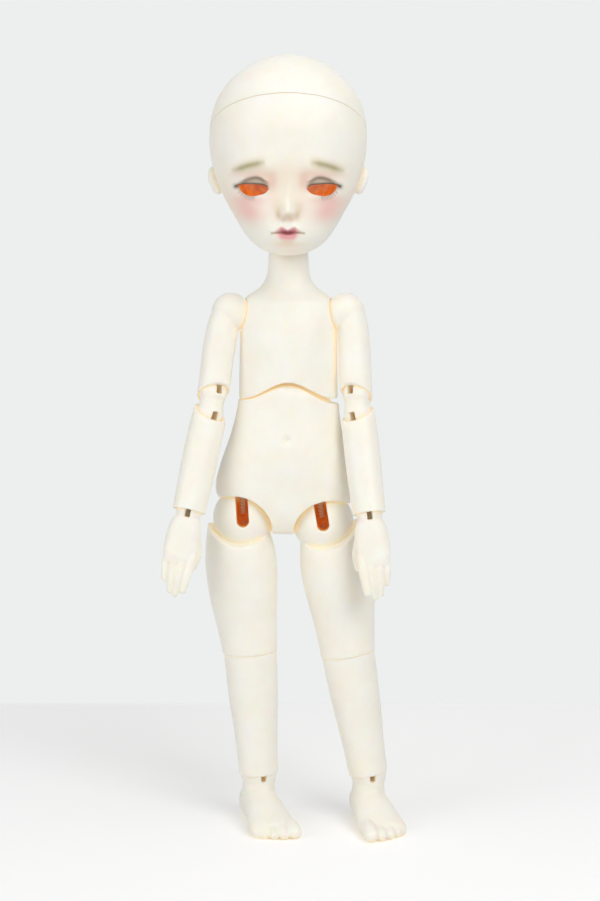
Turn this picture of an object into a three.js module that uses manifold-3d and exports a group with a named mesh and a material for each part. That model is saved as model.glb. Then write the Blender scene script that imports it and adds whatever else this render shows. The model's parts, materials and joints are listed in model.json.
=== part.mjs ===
// A ball-jointed resin doll of the 1/6 child size, strung with elastic cord.
// Millimetres, +Z up. The doll faces -Y, so its right side lies at -X.
// Each limb is drawn hanging straight down from its own joint centre, for the doll's left side,
// and is mirrored for the right. Nested groups then turn the limbs into the standing pose.
import * as THREE from 'three';
import { mergeVertices } from 'three/addons/utils/BufferGeometryUtils.js';
import Module from 'manifold-3d';

const wasm = await Module();
wasm.setup();

// Fits shared by all the joints
const clearance = 0.3;
const wall = 3;
const cupWall = 3.8;
const cordDiameter = 2;
const cordStop = 1.4;
const wireDiameter = 1.2;
const barDiameter = 1.4;
const hookLength = 7;

// Lengths between joint centres, and the heights of the trunk
const ankleHeight = 17;
const shinLength = 45;
const thighLength = 48;
const hipOffset = 14;
const kneeOffset = 1;
const waistHeight = 39;
const shoulderHeight = 34;
const shoulderOffset = 20;
const neckHeight = 57;
const spineDepth = 2.6;
const upperArmLength = 29;
const upperArmOffset = 2.4;
const elbowLength = 6.9;
const forearmLength = 36;

// Ball radii
const shoulderBall = 6.8;
const elbowBall = 4.8;
const elbowWaist = 4.2;
const wristBall = 4.3;
const hipBall = 10.8;
const kneeBall = 7.8;
const ankleBall = 6.2;
const neckBall = 7.4;
const waistRadius = 11.4;
const waistHalfWidth = 15.4;

// Rims and slots of the joints: slots in degrees of cord swing, rims in millimetres
const slotMargin = 5;
const elbowSlot = 78;
const elbowNotch = 32;
const elbowTurn = 30;
const elbowBack = 5.5;
const wristSlot = 104;
const wristSwing = 40;
const wristRim = 0.8;
const armRaise = 96;
const hipSlot = 92;
const hipBackSwing = 20;
const hipSpread = 34;
const hipSpreadOut = 11;
const hipCordReach = 12.2;
const hipSlotReach = 20.5;
const legOpening = 12.8;
const openingShift = 2.9;
const openingDrop = -4.5;
const openingTurn = 4;
const groinRadius = 13.4;
const groinRise = 6.2;
const groinTilt = 8;
const kneeSwing = 86;
const kneeFrontDrop = 0.8;
const kneeBackRise = 8;
const kneeDepth = 9.2;
const ankleSlot = 98;
const ankleSwing = 34;
const ankleRim = 0.8;
const hookRoomRadius = 3.6;
const trunkHalfWidth = 16.5;
const hemSide = 4;
const hemMiddle = 10;
const hemGap = 1.3;
const neckCordReach = 9.8;

// Head
const headHalfHeight = 34.2;
const headRise = 31.2;
const headForward = 3;
const headHalfWidth = 27.2;
const faceDepth = 26.5;
const napeDepth = 31;
const headWall = 4.5;
const neckHoleDiameter = 5.6;
const neckFlare = 10.6;
const seatHeight = 11.2;
const capSlope = 32;
const capRise = 35.8;
const magnetDiameter = 3;
const magnetThickness = 1.5;
const eyeSpacing = 11.5;
const eyeHeight = 20.4;
const eyeWidth = 10.6;
const eyeOpening = 4.5;
const earLength = 10.5;

// Standing pose, in degrees: sideways angles lean towards +X
const stance = {
  right: { leg: 3.8, foot: 19, arm: -7.5, armForward: 9, elbow: 3, carry: -4 },
  left: { leg: 9.6, foot: 13, arm: 2.5, armForward: 10, elbow: 3, carry: 3.5 },
};
const headNod = 3;

// Facets
const ballSides = 12;
const ballRows = 8;
const cupSides = 8;
const cupRows = 6;
const limbSides = 12;
const trunkSides = 16;
const hollowSides = 10;
const domeSides = 16;
const domeRows = 8;
const cordSides = 8;
const waveSteps = 7;
const fingerSides = 5;
const tipShare = 0.75;

const cordRadius = cordDiameter / 2;
const slotWidth = cordDiameter + 2 * clearance;
const hipSlotWidth = 4.2;
const boreRadius = cordRadius + clearance;
const hubRadius = Math.hypot(cordStop, cordRadius) + clearance;
const hookSlotWidth = wireDiameter + 2 * clearance;
const eyeRadius = barDiameter / 2 + clearance + wireDiameter / 2;
const eyeReach = eyeRadius + wireDiameter / 2;
const far = 200;
const right = new THREE.Vector3(1, 0, 0);
const back = new THREE.Vector3(0, 1, 0);
const up = new THREE.Vector3(0, 0, 1);
const front = back.clone().negate();
const medial = right.clone().negate();
const radians = THREE.MathUtils.degToRad;

function solidOf(geometry) {
  const bare = geometry.clone();
  bare.deleteAttribute('normal');
  bare.deleteAttribute('uv');
  const merged = mergeVertices(bare, 1e-4);
  const corners = merged.index.array;
  const kept = [];
  for (let i = 0; i < corners.length; i += 3) {
    const [a, b, c] = [corners[i], corners[i + 1], corners[i + 2]];
    if (a !== b && b !== c && c !== a) kept.push(a, b, c);
  }
  return new wasm.Manifold(new wasm.Mesh({
    numProp: 3,
    vertProperties: merged.attributes.position.array,
    triVerts: Uint32Array.from(kept),
  }));
}

function geometryOf(solid) {
  const mesh = solid.getMesh();
  const geometry = new THREE.BufferGeometry();
  geometry.setAttribute('position', new THREE.BufferAttribute(mesh.vertProperties, 3));
  geometry.setIndex(new THREE.BufferAttribute(mesh.triVerts, 1));
  return geometry;
}

// A geometry seen in the doll's mid plane, with its faces turned out again.
function mirrored(geometry) {
  const twin = geometry.clone().scale(-1, 1, 1);
  const corners = twin.index.array;
  for (let i = 0; i < corners.length; i += 3) {
    [corners[i], corners[i + 1]] = [corners[i + 1], corners[i]];
  }
  return twin;
}

function ball(radius, center = [0, 0, 0], sides = ballSides, rows = ballRows) {
  const sphere = new THREE.SphereGeometry(radius, sides, rows);
  return solidOf(sphere.rotateX(Math.PI / 2).translate(...center));
}

// The hollow that a ball turns in: its flat facets, not its corners, keep the clearance.
function socket(radius, center = [0, 0, 0]) {
  const flats = Math.cos(Math.PI / ballSides) * Math.cos(Math.PI / (2 * ballRows));
  return ball((radius + clearance) / flats, center);
}

function rod(radius, start, end, sides = cordSides) {
  const from = new THREE.Vector3(...start);
  const to = new THREE.Vector3(...end);
  const turn = new THREE.Quaternion().setFromUnitVectors(back, to.clone().sub(from).normalize());
  const middle = from.clone().add(to).multiplyScalar(0.5);
  const cylinder = new THREE.CylinderGeometry(radius, radius, from.distanceTo(to), sides);
  return solidOf(cylinder.applyQuaternion(turn).translate(middle.x, middle.y, middle.z));
}

function ring(radius, wire, center) {
  const torus = new THREE.TorusGeometry(radius, wire / 2, 4, 7).rotateY(Math.PI / 2);
  return solidOf(torus.translate(...center));
}

// The half space below a plane through a point, tilted about X (in degrees, the back end lifted).
function below(y, z, tilt) {
  const block = new THREE.BoxGeometry(far, far, far).translate(0, 0, -far / 2);
  return solidOf(block.rotateX(radians(tilt)).translate(0, y, z));
}

// A plate swept through a fan of angles about the joint centre, from one direction towards another,
// with room at both ends for half the width of what swings in it.
function fan(radius, from, to, width, zero, turn, half = boreRadius) {
  const [start, end] = [radians(from), radians(to)];
  const spread = Math.atan2(half, radius);
  const rim = Math.hypot(half, radius);
  const shape = new THREE.Shape();
  shape.moveTo(half * Math.sin(start), -half * Math.cos(start));
  shape.lineTo(rim * Math.cos(start - spread), rim * Math.sin(start - spread));
  shape.absarc(0, 0, rim, start - spread, end + spread, false);
  shape.lineTo(-half * Math.sin(end), half * Math.cos(end));
  const plate = new THREE.ExtrudeGeometry(shape, { depth: width, bevelEnabled: false, curveSegments: 3 });
  plate.translate(0, 0, -width / 2);
  const axis = zero.clone().cross(turn);
  plate.applyMatrix4(new THREE.Matrix4().makeBasis(zero, turn, axis));
  const reach = axis.clone().multiplyScalar(width / 2);
  const hub = rod(hubRadius, reach.clone().negate().toArray(), reach.toArray());
  return solidOf(plate).add(hub);
}

// A smooth value between the listed [place, value] pairs.
function blend(pairs, place) {
  let i = 0;
  while (i < pairs.length - 2 && place > pairs[i + 1][0]) i += 1;
  const slope = (a, b) => (pairs[b][1] - pairs[a][1]) / (pairs[b][0] - pairs[a][0]);
  const [x0, y0] = pairs[i];
  const [x1, y1] = pairs[i + 1];
  const m0 = slope(Math.max(i - 1, 0), i + 1);
  const m1 = slope(i, Math.min(i + 2, pairs.length - 1));
  const h = x1 - x0;
  const t = THREE.MathUtils.clamp((place - x0) / h, 0, 1);
  const rise = (1 + 2 * t) * (1 - t) ** 2 * y0 + t * t * (3 - 2 * t) * y1;
  return rise + h * (t * (1 - t) ** 2 * m0 - t * t * (1 - t) * m1);
}

// A closed skin over rings of equal count, with the first and last ring filled in.
function skin(rings) {
  const sides = rings[0].length;
  const points = rings.flat();
  const corners = [];
  for (let i = 0; i < rings.length - 1; i += 1) {
    for (let j = 0; j < sides; j += 1) {
      const a = i * sides + j;
      const b = i * sides + (j + 1) % sides;
      corners.push(a, b, b + sides, a, b + sides, a + sides);
    }
  }
  const middle = (list) => list.reduce((sum, p) => sum.add(p), new THREE.Vector3()).divideScalar(sides);
  const first = points.push(middle(rings[0])) - 1;
  const last = points.push(middle(rings.at(-1))) - 1;
  const top = (rings.length - 1) * sides;
  for (let j = 0; j < sides; j += 1) {
    const k = (j + 1) % sides;
    corners.push(first, k, j, last, top + j, top + k);
  }
  const geometry = new THREE.BufferGeometry().setFromPoints(points);
  geometry.setIndex(corners);
  return geometry;
}

// A limb through sections [z, half width, half depth, x shift, y shift], listed upwards.
function limb(sections, { sides = limbSides, steps = 1, power = 2 } = {}) {
  const column = (k) => sections.map((section) => [section[0], section[k] ?? 0]);
  const [width, depth, shiftX, shiftY] = [1, 2, 3, 4].map(column);
  const rounded = (value) => Math.sign(value) * Math.abs(value) ** (2 / power);
  const heights = [];
  for (let i = 0; i < sections.length - 1; i += 1) {
    for (let k = 0; k < steps; k += 1) {
      heights.push(THREE.MathUtils.lerp(sections[i][0], sections[i + 1][0], k / steps));
    }
  }
  heights.push(sections.at(-1)[0]);
  const rings = heights.map((z) => Array.from({ length: sides }, (_, j) => {
    const angle = 2 * Math.PI * j / sides;
    const x = blend(shiftX, z) + blend(width, z) * rounded(Math.cos(angle));
    const y = blend(shiftY, z) + blend(depth, z) * rounded(Math.sin(angle));
    return new THREE.Vector3(x, y, z);
  }));
  return solidOf(skin(rings));
}

// A finger or toe: a round bar along a curve that thins out to a round tip.
function finger(points, startRadius, endRadius, steps, sides = fingerSides) {
  const curve = new THREE.CatmullRomCurve3(points.map((p) => new THREE.Vector3(...p)));
  const frames = curve.computeFrenetFrames(steps);
  const tip = frames.tangents[steps];
  const rings = [];
  const addRing = (center, radius, i) => {
    rings.push(Array.from({ length: sides }, (_, j) => {
      const angle = 2 * Math.PI * j / sides;
      const out = frames.normals[i].clone().multiplyScalar(radius * Math.cos(angle));
      return out.addScaledVector(frames.binormals[i], radius * Math.sin(angle)).add(center);
    }));
  };
  for (let i = 0; i <= steps; i += 1) {
    addRing(curve.getPointAt(i / steps), THREE.MathUtils.lerp(startRadius, endRadius, i / steps), i);
  }
  const end = curve.getPointAt(1).addScaledVector(tip, endRadius * tipShare);
  addRing(end, endRadius * Math.sqrt(1 - tipShare * tipShare), steps);
  return solidOf(skin(rings));
}

// A length of cord along a curve through the points, or the bore for it when grown.
function cord(points, grow = 0) {
  const curve = new THREE.CatmullRomCurve3(points.map((p) => new THREE.Vector3(...p)));
  const section = new THREE.Shape();
  section.absarc(0, 0, cordRadius + grow, 0, 2 * Math.PI, false);
  const steps = points.length === 2 ? 1 : Math.round(curve.getLength() / (2.5 * cordDiameter));
  const options = { steps, curveSegments: cordSides / 2, extrudePath: curve, bevelEnabled: false };
  return solidOf(new THREE.ExtrudeGeometry(section, options));
}

function union(solids) {
  return solids.reduce((sum, solid) => sum.add(solid));
}

// The wire hook that ties the cord's end to a cast-in bar: an eye round the bar, a shank and an upper eye.
function wireHook() {
  const shank = rod(wireDiameter / 2, [0, 0, eyeRadius], [0, 0, hookLength - eyeRadius], 6);
  const eyes = [ring(eyeRadius, wireDiameter, [0, 0, 0]), ring(eyeRadius, wireDiameter, [0, 0, hookLength])];
  return union([shank, ...eyes]);
}

// What a wrist or ankle ball loses to the hook: the swing of its shank and the pocket of its eye.
function hookPocket(radius, from, to) {
  const swing = fan(radius + 1, from, to, hookSlotWidth, up, front, hookSlotWidth / 2);
  const half = hookSlotWidth / 2;
  const pocket = rod(eyeReach + clearance, [-half, 0, 0], [half, 0, 0], 12);
  const bar = rod(barDiameter / 2, [-hookSlotWidth, 0, 0], [hookSlotWidth, 0, 0]);
  return swing.add(pocket).subtract(bar);
}

// Head: a hollow shell cut by a sloping plane into face and cap

const jawToCrown = {
  width: [[-1, 1.1], [-0.86, 1.02], [-0.6, 0.94], [-0.2, 0.955], [0.2, 1.02], [0.6, 1.085], [1, 1.1]],
  face: [
    [-1, 2.4], [-0.91, 1.95], [-0.68, 1.27], [-0.42, 1.04], [-0.2, 0.98], [0.1, 1], [0.4, 1.06], [1, 1.05],
  ],
  nape: [[-1, 0.6], [-0.85, 0.7], [-0.6, 0.82], [-0.3, 0.95], [0.1, 1], [0.5, 1.03], [1, 1.05]],
};

// How far the features stand out of the face: [x, z, half width, half height above, below, depth].
const features = [
  [0, 11.9, 2.1, 6, 2.2, 3.6],
  [1.9, 10.9, 1.5, 1.6, 1.5, 1.3],
  [0, 7.2, 4, 1.3, 0.9, 1.5],
  [0, 4.6, 3.2, 1.1, 1.1, 1.4],
  [0, 5.8, 4.6, 0.5, 0.5, -0.7],
  [0, -0.6, 4.5, 2.5, 2, 1.1],
  [12, 11, 6, 5, 4, 0.9],
  [eyeSpacing, eyeHeight + 6, 7, 2.2, 2.4, -0.9],
  [eyeSpacing, eyeHeight + 1.4, 5.6, 2.6, 3.4, 0.9],
];

function featureDepth(x, z) {
  let depth = 0;
  for (const [centerX, centerZ, halfWidth, above, under, out] of features) {
    const across = (Math.abs(x) - centerX) / halfWidth;
    const along = (z - centerZ) / (z > centerZ ? above : under);
    depth += out * Math.exp(-across * across - along * along);
  }
  return depth;
}

// The head's surface, or its hollow when set in; the rows and columns crowd together on the face.
function headSkin(rows, columns, inset, modelled) {
  const rings = [];
  for (let i = 1; i < rows; i += 1) {
    const polar = Math.PI * (i / rows) ** 1.3;
    const level = -Math.cos(polar);
    const z = headRise + (headHalfHeight - inset) * level;
    rings.push(Array.from({ length: columns }, (_, j) => {
      const share = 2 * Math.PI * j / columns;
      const angle = share - 0.65 * Math.sin(share);
      const reach = Math.sin(polar);
      const ahead = Math.cos(angle);
      const x = (headHalfWidth * blend(jawToCrown.width, level) - inset) * reach * Math.sin(angle);
      const depth = ahead > 0
        ? -(faceDepth * blend(jawToCrown.face, level) - inset) * ahead ** 0.92
        : -(napeDepth * blend(jawToCrown.nape, level) - inset) * ahead;
      const relief = modelled && ahead > 0 ? featureDepth(x, z) * Math.min(1, 2 * ahead) : 0;
      return new THREE.Vector3(x, depth * reach - relief - headForward, z);
    }));
  }
  return solidOf(skin(rings));
}

// The half-closed eye: a nearly level upper lid over a round lower one, cut right through the wall.
function eyeHole(side) {
  const half = eyeWidth / 2;
  const shape = new THREE.Shape();
  shape.moveTo(-half, 0);
  shape.quadraticCurveTo(0, -eyeOpening * 1.2, half, 0);
  shape.quadraticCurveTo(0, eyeOpening * 0.6, -half, 0);
  const prism = new THREE.ExtrudeGeometry(shape, { depth: faceDepth, bevelEnabled: false, curveSegments: 6 });
  return solidOf(prism.rotateX(Math.PI / 2).translate(side * eyeSpacing, -headForward, eyeHeight));
}

function ear(side) {
  const flap = new THREE.SphereGeometry(1, 8, 6).scale(2.1, 3.4, earLength / 2);
  const hollow = new THREE.SphereGeometry(1, 6, 4).scale(1.3, 2.2, earLength / 3.4).translate(1.5, -0.9, 0.6);
  const shaped = solidOf(flap).subtract(solidOf(hollow));
  const set = geometryOf(shaped).rotateX(radians(-10)).rotateZ(radians(28));
  set.translate(headHalfWidth - 1.4, 3 - headForward, eyeHeight + 2.2);
  return solidOf(side > 0 ? set : mirrored(set));
}

const capNormal = up.clone().applyAxisAngle(right, radians(-capSlope));
const magnetReach = headHalfWidth - headWall * 0.6;

function magnetAt(side, start, end, grow = 0) {
  const center = new THREE.Vector3(side * magnetReach, 0, capRise);
  const along = (distance) => center.clone().addScaledVector(capNormal, distance).toArray();
  return rod(magnetDiameter / 2 + grow, along(start), along(end), 12);
}

function headShell() {
  const cup = below(0, seatHeight, 0);
  const hollow = headSkin(8, 12, headWall, false).subtract(cup);
  const hole = rod(neckHoleDiameter / 2, [0, 0, 0], [0, 0, seatHeight + wall], 16);
  const flare = limb([[-neckFlare / 2, neckFlare, neckFlare], [0, neckBall, neckBall]], { sides: 16 });
  const pocketDepth = magnetThickness + 2 * clearance;
  const pockets = [-1, 1].map((side) => magnetAt(side, -pocketDepth, pocketDepth, clearance));
  const shell = union([headSkin(20, 26, 0, true), ear(1), ear(-1)]).subtract(hollow);
  return shell.subtract(union([socket(neckBall), flare, hole, eyeHole(1), eyeHole(-1), ...pockets]));
}

// The hook that holds the head down: a cross bar on the rim of the neck hole, a shank and an eye.
function neckHook() {
  const barHeight = seatHeight + clearance + wireDiameter / 2;
  const half = neckHoleDiameter / 2 + 2;
  const bar = rod(wireDiameter / 2, [-half, 0, barHeight], [half, 0, barHeight], 6);
  const shank = rod(wireDiameter / 2, [0, 0, eyeRadius], [0, 0, barHeight], 6);
  return union([bar, shank, ring(eyeRadius, wireDiameter, [0, 0, 0])]);
}

// Trunk

// The region under a wave that is highest over the middle of the trunk.
function underWave(sideHeight, middleHeight) {
  const half = trunkHalfWidth * 1.5;
  const shape = new THREE.Shape();
  shape.moveTo(-half, -far);
  for (let i = -waveSteps; i <= waveSteps; i += 1) {
    const x = half * i / waveSteps;
    const swing = Math.abs(x) < trunkHalfWidth ? (1 + Math.cos(Math.PI * x / trunkHalfWidth)) / 2 : 0;
    shape.lineTo(x, THREE.MathUtils.lerp(sideHeight, middleHeight, swing));
  }
  shape.lineTo(half, -far);
  const prism = new THREE.ExtrudeGeometry(shape, { depth: far, bevelEnabled: false });
  return solidOf(prism.rotateX(Math.PI / 2).translate(0, far / 2, 0));
}

// The rounded top of the pelvis, or the hollow for it when grown, turned about the waist's axis.
function waistDome(grow) {
  const flats = grow > 0 ? Math.cos(Math.PI / domeSides) * Math.cos(Math.PI / (2 * domeRows)) : 1;
  const [half, radius] = [waistHalfWidth, waistRadius].map((value) => (value + grow) / flats);
  const dome = new THREE.SphereGeometry(1, domeSides, domeRows).rotateZ(Math.PI / 2);
  return solidOf(dome.scale(half, radius, radius));
}

const trunkCordRoute = [
  [0, 0, cordStop], [0, 0.8, 8], [0, spineDepth, 20], [0, spineDepth, 34],
  [0, spineDepth, neckHeight - neckCordReach - clearance],
];

function chestShell() {
  const trunk = limb([
    [1, 16.2, 12], [8, 16.5, 12.3], [16, 16.8, 12.4], [24, 16.9, 12.2], [31, 17, 11.4, 0, 0.2],
    [36.5, 17, 9.8, 0, 0.8], [39.5, 15.6, 8.4, 0, 1.4], [41, 12.4, 7.7, 0, 1.9],
    [42.6, 9.4, 7.4, 0, 2.3], [46, 7.5, 7, 0, spineDepth], [52, 7.1, 6.9, 0, spineDepth],
    [neckHeight - 2, 7.1, 6.9, 0, spineDepth],
  ], { sides: trunkSides, power: 2.2 });
  const neckTop = [0, spineDepth, neckHeight];
  const cups = [-1, 1].map((side) => ball(shoulderBall + cupWall, shoulderPlace(side), cupSides, cupRows));
  const hollow = limb([
    [15, 12, 8], [18, 13.4, 9.2], [26, 13.8, 9], [33, 13.2, 7.6], [37, 10, 5, 0, 1],
  ], { sides: hollowSides, power: 2.2 });
  const sockets = [-1, 1].map((side) => socket(shoulderBall, shoulderPlace(side)));
  const armBore = rod(boreRadius, shoulderPlace(-1), shoulderPlace(1));
  const throat = limb([
    [-neckCordReach - 3, boreRadius, boreRadius], [-neckCordReach + 1, 3.6, 3.6], [neckBall + 1, 4.3, 4.3],
  ], { sides: 12 });
  const throatPlaced = geometryOf(throat).translate(...neckTop);
  return trunk.add(ball(neckBall, neckTop)).subtract(union([
    hollow.subtract(union(cups)), ...sockets, armBore, solidOf(throatPlaced),
    cord(trunkCordRoute, clearance), waistDome(clearance), underWave(hemSide, hemMiddle),
  ]));
}

function pelvisShell() {
  const body = limb([
    [-4.5, 8, 7.5, 0, 0.6], [-2, 14.5, 11, 0, 1], [2, 19.8, 13, 0, 1.2], [6, 23.4, 13.8, 0, 1.2],
    [10, 24.9, 14, 0, 1], [16, 23.8, 14, 0, 0.6], [waistHeight - 17, 21.1, 13.6, 0, 0.1],
    [waistHeight - 10, 18, 13, 0, -0.4], [waistHeight - 3, 16.6, 12.2, 0, -0.2],
    [waistHeight + 2, 16.2, 12], [waistHeight + 7, 16.2, 12],
  ], { sides: trunkSides, power: 2.2 });
  const lift = (solid) => solidOf(geometryOf(solid).translate(0, 0, waistHeight));
  const belly = body.intersect(lift(underWave(hemSide - hemGap, hemMiddle - hemGap)));
  const hollow = limb([
    [11, 5, 5], [18, 12.4, 8.8], [waistHeight - 13, 14, 9.4], [waistHeight - 5, 12.6, 8.6],
    [waistHeight + 2, 10.6, 7.4], [waistHeight + 7, 5.5, 4.4],
  ], { sides: hollowSides });
  const hipPlace = (side) => [side * hipOffset, 0, 0];
  const cups = union([-1, 1].map((side) => ball(hipBall + cupWall, hipPlace(side), cupSides, cupRows)));
  const crown = waistHeight + waistRadius;
  const cuts = [hollow.subtract(cups), rod(3.4, [0, 0, crown - 8], [0, 0, crown + 1], 16)];
  for (const side of [-1, 1]) {
    const hip = hipPlace(side);
    const inwards = right.clone().multiplyScalar(-side);
    const slot = fan(hipSlotReach, -hipSpreadOut, hipSpread, slotWidth, up, inwards);
    cuts.push(socket(hipBall, hip), solidOf(geometryOf(slot).translate(...hip)));
    const opening = new THREE.CylinderGeometry(legOpening, legOpening, far, 20);
    opening.rotateZ(radians(-side * openingTurn));
    cuts.push(solidOf(opening.translate(side * (hipOffset + openingShift), 0, openingDrop)));
  }
  return belly.add(lift(waistDome(0))).subtract(union(cuts));
}

// Arm, for the left side

const upperArmRoute = [
  [0, 0, -cordStop], [0.5 * upperArmOffset, 0, -8], [upperArmOffset, 0, -17],
  [upperArmOffset, 0, cordStop - upperArmLength],
];

function upperArm() {
  const flesh = limb([
    [-upperArmLength - elbowLength, 5.7, 5.8, upperArmOffset], [-27, 5.6, 5.8, upperArmOffset],
    [-20, 5.6, 5.9, 2.5], [-13, 5.7, 6.2, 2.6], [-6, 5.5, 6.5, 2.3], [0, 4.9, 6.4, 1.6], [4.6, 3.2, 4.4, 1.1],
  ]);
  const elbow = [upperArmOffset, 0, -upperArmLength];
  const rim = geometryOf(below(elbowBack, elbow[2] - elbowLength / 2 + clearance / 2, -elbowNotch));
  rim.rotateZ(radians(-elbowTurn)).translate(upperArmOffset, 0, 0);
  const slot = fan(shoulderBall + 1, -slotMargin, armRaise, slotWidth, medial, up);
  const bore = cord(upperArmRoute, clearance);
  return flesh.subtract(solidOf(rim)).add(ball(shoulderBall))
    .subtract(union([slot, bore, socket(elbowBall, elbow)]));
}

// The elbow is a piece of its own: two balls in one, each with a slot at the front.
function elbowPiece() {
  const lower = [0, 0, -elbowLength];
  const reach = elbowBall + 1;
  const lowerSlot = fan(reach, -slotMargin, elbowSlot, slotWidth, up.clone().negate(), front);
  const slots = [
    fan(reach, -slotMargin, elbowSlot, slotWidth, up, front),
    solidOf(geometryOf(lowerSlot).translate(...lower)),
    rod(boreRadius, [0, 0, 0], lower),
  ];
  const waist = rod(elbowWaist, [0, 0, 0], lower, 20);
  return union([ball(elbowBall), waist, ball(elbowBall, lower)]).subtract(union(slots));
}

function forearm() {
  const flesh = limb([
    [-forearmLength - 1, 5.9, 5.5], [-32, 5.9, 5.5], [-25, 5.9, 5.6], [-16, 6, 5.8], [-8, 5.9, 5.9],
    [-2, 5.8, 5.8], [elbowLength, 5.7, 5.8],
  ]);
  const rim = below(elbowBack, elbowLength / 2 - clearance / 2, elbowNotch);
  const wrist = [0, 0, -forearmLength];
  const roomTop = [0, 0, hookLength + eyeReach + clearance - forearmLength];
  const hookRoom = rod(eyeReach + clearance, wrist, roomTop, 12);
  const cuts = [
    socket(elbowBall), socket(wristBall, wrist), hookRoom,
    rod(boreRadius, [0, 0, 0], wrist), below(0, wristRim - forearmLength, 0),
  ];
  return flesh.intersect(rim).subtract(union(cuts));
}

// Knuckle place, tip place and radius of each finger, from the index at the inner side outwards.
const fingers = [
  { knuckle: [-4.1, -0.4, -15.5], tip: [-4.6, 1, -27.5], radius: 1.65 },
  { knuckle: [-1.4, -0.7, -16], tip: [-1.5, 1.6, -29], radius: 1.7 },
  { knuckle: [1.4, -0.5, -15.6], tip: [1.6, 1.8, -27.8], radius: 1.65 },
  { knuckle: [3.9, 0, -14.4], tip: [4.5, 1.4, -23.8], radius: 1.45 },
];

function hand() {
  const palm = limb([
    [-17, 5.6, 2.4], [-14, 6, 3], [-10, 6.1, 3.5, 0, 0.1], [-6, 5.9, 3.9], [-3, 5.4, 4], [-1.6, 4.7, 3.9],
    [1, 3.6, 3.4],
  ]);
  const digits = fingers.map(({ knuckle, tip, radius }) => {
    const bend = knuckle.map((value, axis) => THREE.MathUtils.lerp(value, tip[axis], 0.55));
    const root = [knuckle[0] * 0.8, knuckle[1] + 0.3, knuckle[2] + 4];
    return finger([root, knuckle, [bend[0], bend[1] - 0.6, bend[2]], tip], radius, radius * 0.68, 3);
  });
  const thumb = finger([[-2.6, 1, -6], [-4.8, 2, -9.5], [-5.9, 3, -13], [-5.9, 4, -17]], 1.9, 1.3, 3);
  const shape = union([palm, ...digits, thumb]).add(ball(wristBall));
  return shape.subtract(hookPocket(wristBall, -wristSwing, wristSlot));
}

// Leg, for the left side

// The knee's two rims meet at the front and open to the back.
const kneeSlant = (kneeBackRise + kneeFrontDrop) / 2;
const kneeTilt = THREE.MathUtils.radToDeg(Math.atan2(kneeSlant, kneeDepth));

function thigh() {
  const knee = [kneeOffset, 0, -thighLength];
  const flesh = limb([
    [-thighLength - 3, 9.2, 9.2, kneeOffset], [-46, 9.4, 9.4, kneeOffset], [-40, 10.3, 10, 1.6],
    [-32, 11.5, 11.2, 1.9], [-24, 12.5, 12.3, 2], [-15, 12.8, 12.8, 2], [-8, 11.8, 12.3, 2.2],
    [-3, 10.6, 11.4, 2.5], [2, 9.8, 10.7, 2.5],
  ]);
  const groinFall = far * Math.tan(radians(groinTilt));
  const groin = rod(groinRadius, [0, -far, groinRise - groinFall], [0, far, groinRise + groinFall], 20);
  const rim = below(0, kneeSlant - kneeFrontDrop - thighLength, kneeTilt);
  const slot = fan(hipBall + 1, -hipBackSwing, hipSlot, hipSlotWidth, up, front);
  const bore = rod(boreRadius, [0, 0, 0], knee);
  return flesh.subtract(union([groin, rim])).add(ball(hipBall))
    .subtract(union([slot, bore, socket(kneeBall, knee)]));
}

function shin() {
  const ankle = [0, 0, -shinLength];
  const flesh = limb([
    [-shinLength - 1, 7, 7.1], [-41, 6.9, 7.1, 0, 0.2], [-33, 7, 7.6, 0, 0.6], [-26, 7.5, 8.4, 0, 1],
    [-18, 8.4, 9, 0, 1], [-10, 9, 9.2, 0, 0.5], [-3, 9.2, 9.2], [3, 9.2, 9.2],
  ]);
  const top = below(0, -kneeFrontDrop - clearance - kneeSlant, -kneeTilt);
  const slot = fan(kneeBall + 1, -slotMargin, kneeSwing, slotWidth, up, back);
  const roomTop = hookLength + eyeReach + 2 * clearance - shinLength;
  const hookRoom = limb([
    [-shinLength, hookRoomRadius, hookRoomRadius], [roomTop, hookRoomRadius, hookRoomRadius],
    [roomTop + 3, boreRadius, boreRadius],
  ], { sides: 12 });
  const cuts = [
    slot, rod(boreRadius, [0, 0, 0], ankle), socket(ankleBall, ankle), hookRoom,
    below(0, ankleRim - shinLength, 0),
  ];
  return flesh.intersect(top).add(ball(kneeBall)).subtract(union(cuts));
}

// Root place, tip place and radius of each toe, from the big toe at the inner side outwards.
const toes = [
  { root: [-5.2, -18], tip: [-5.4, -24.6], radius: 2.7 },
  { root: [-1.4, -18], tip: [-1.6, -24.4], radius: 2 },
  { root: [1.8, -17], tip: [1.7, -23.2], radius: 1.9 },
  { root: [4.6, -15.5], tip: [4.6, -21.4], radius: 1.8 },
  { root: [7, -13.5], tip: [7, -19], radius: 1.7 },
];

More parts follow.
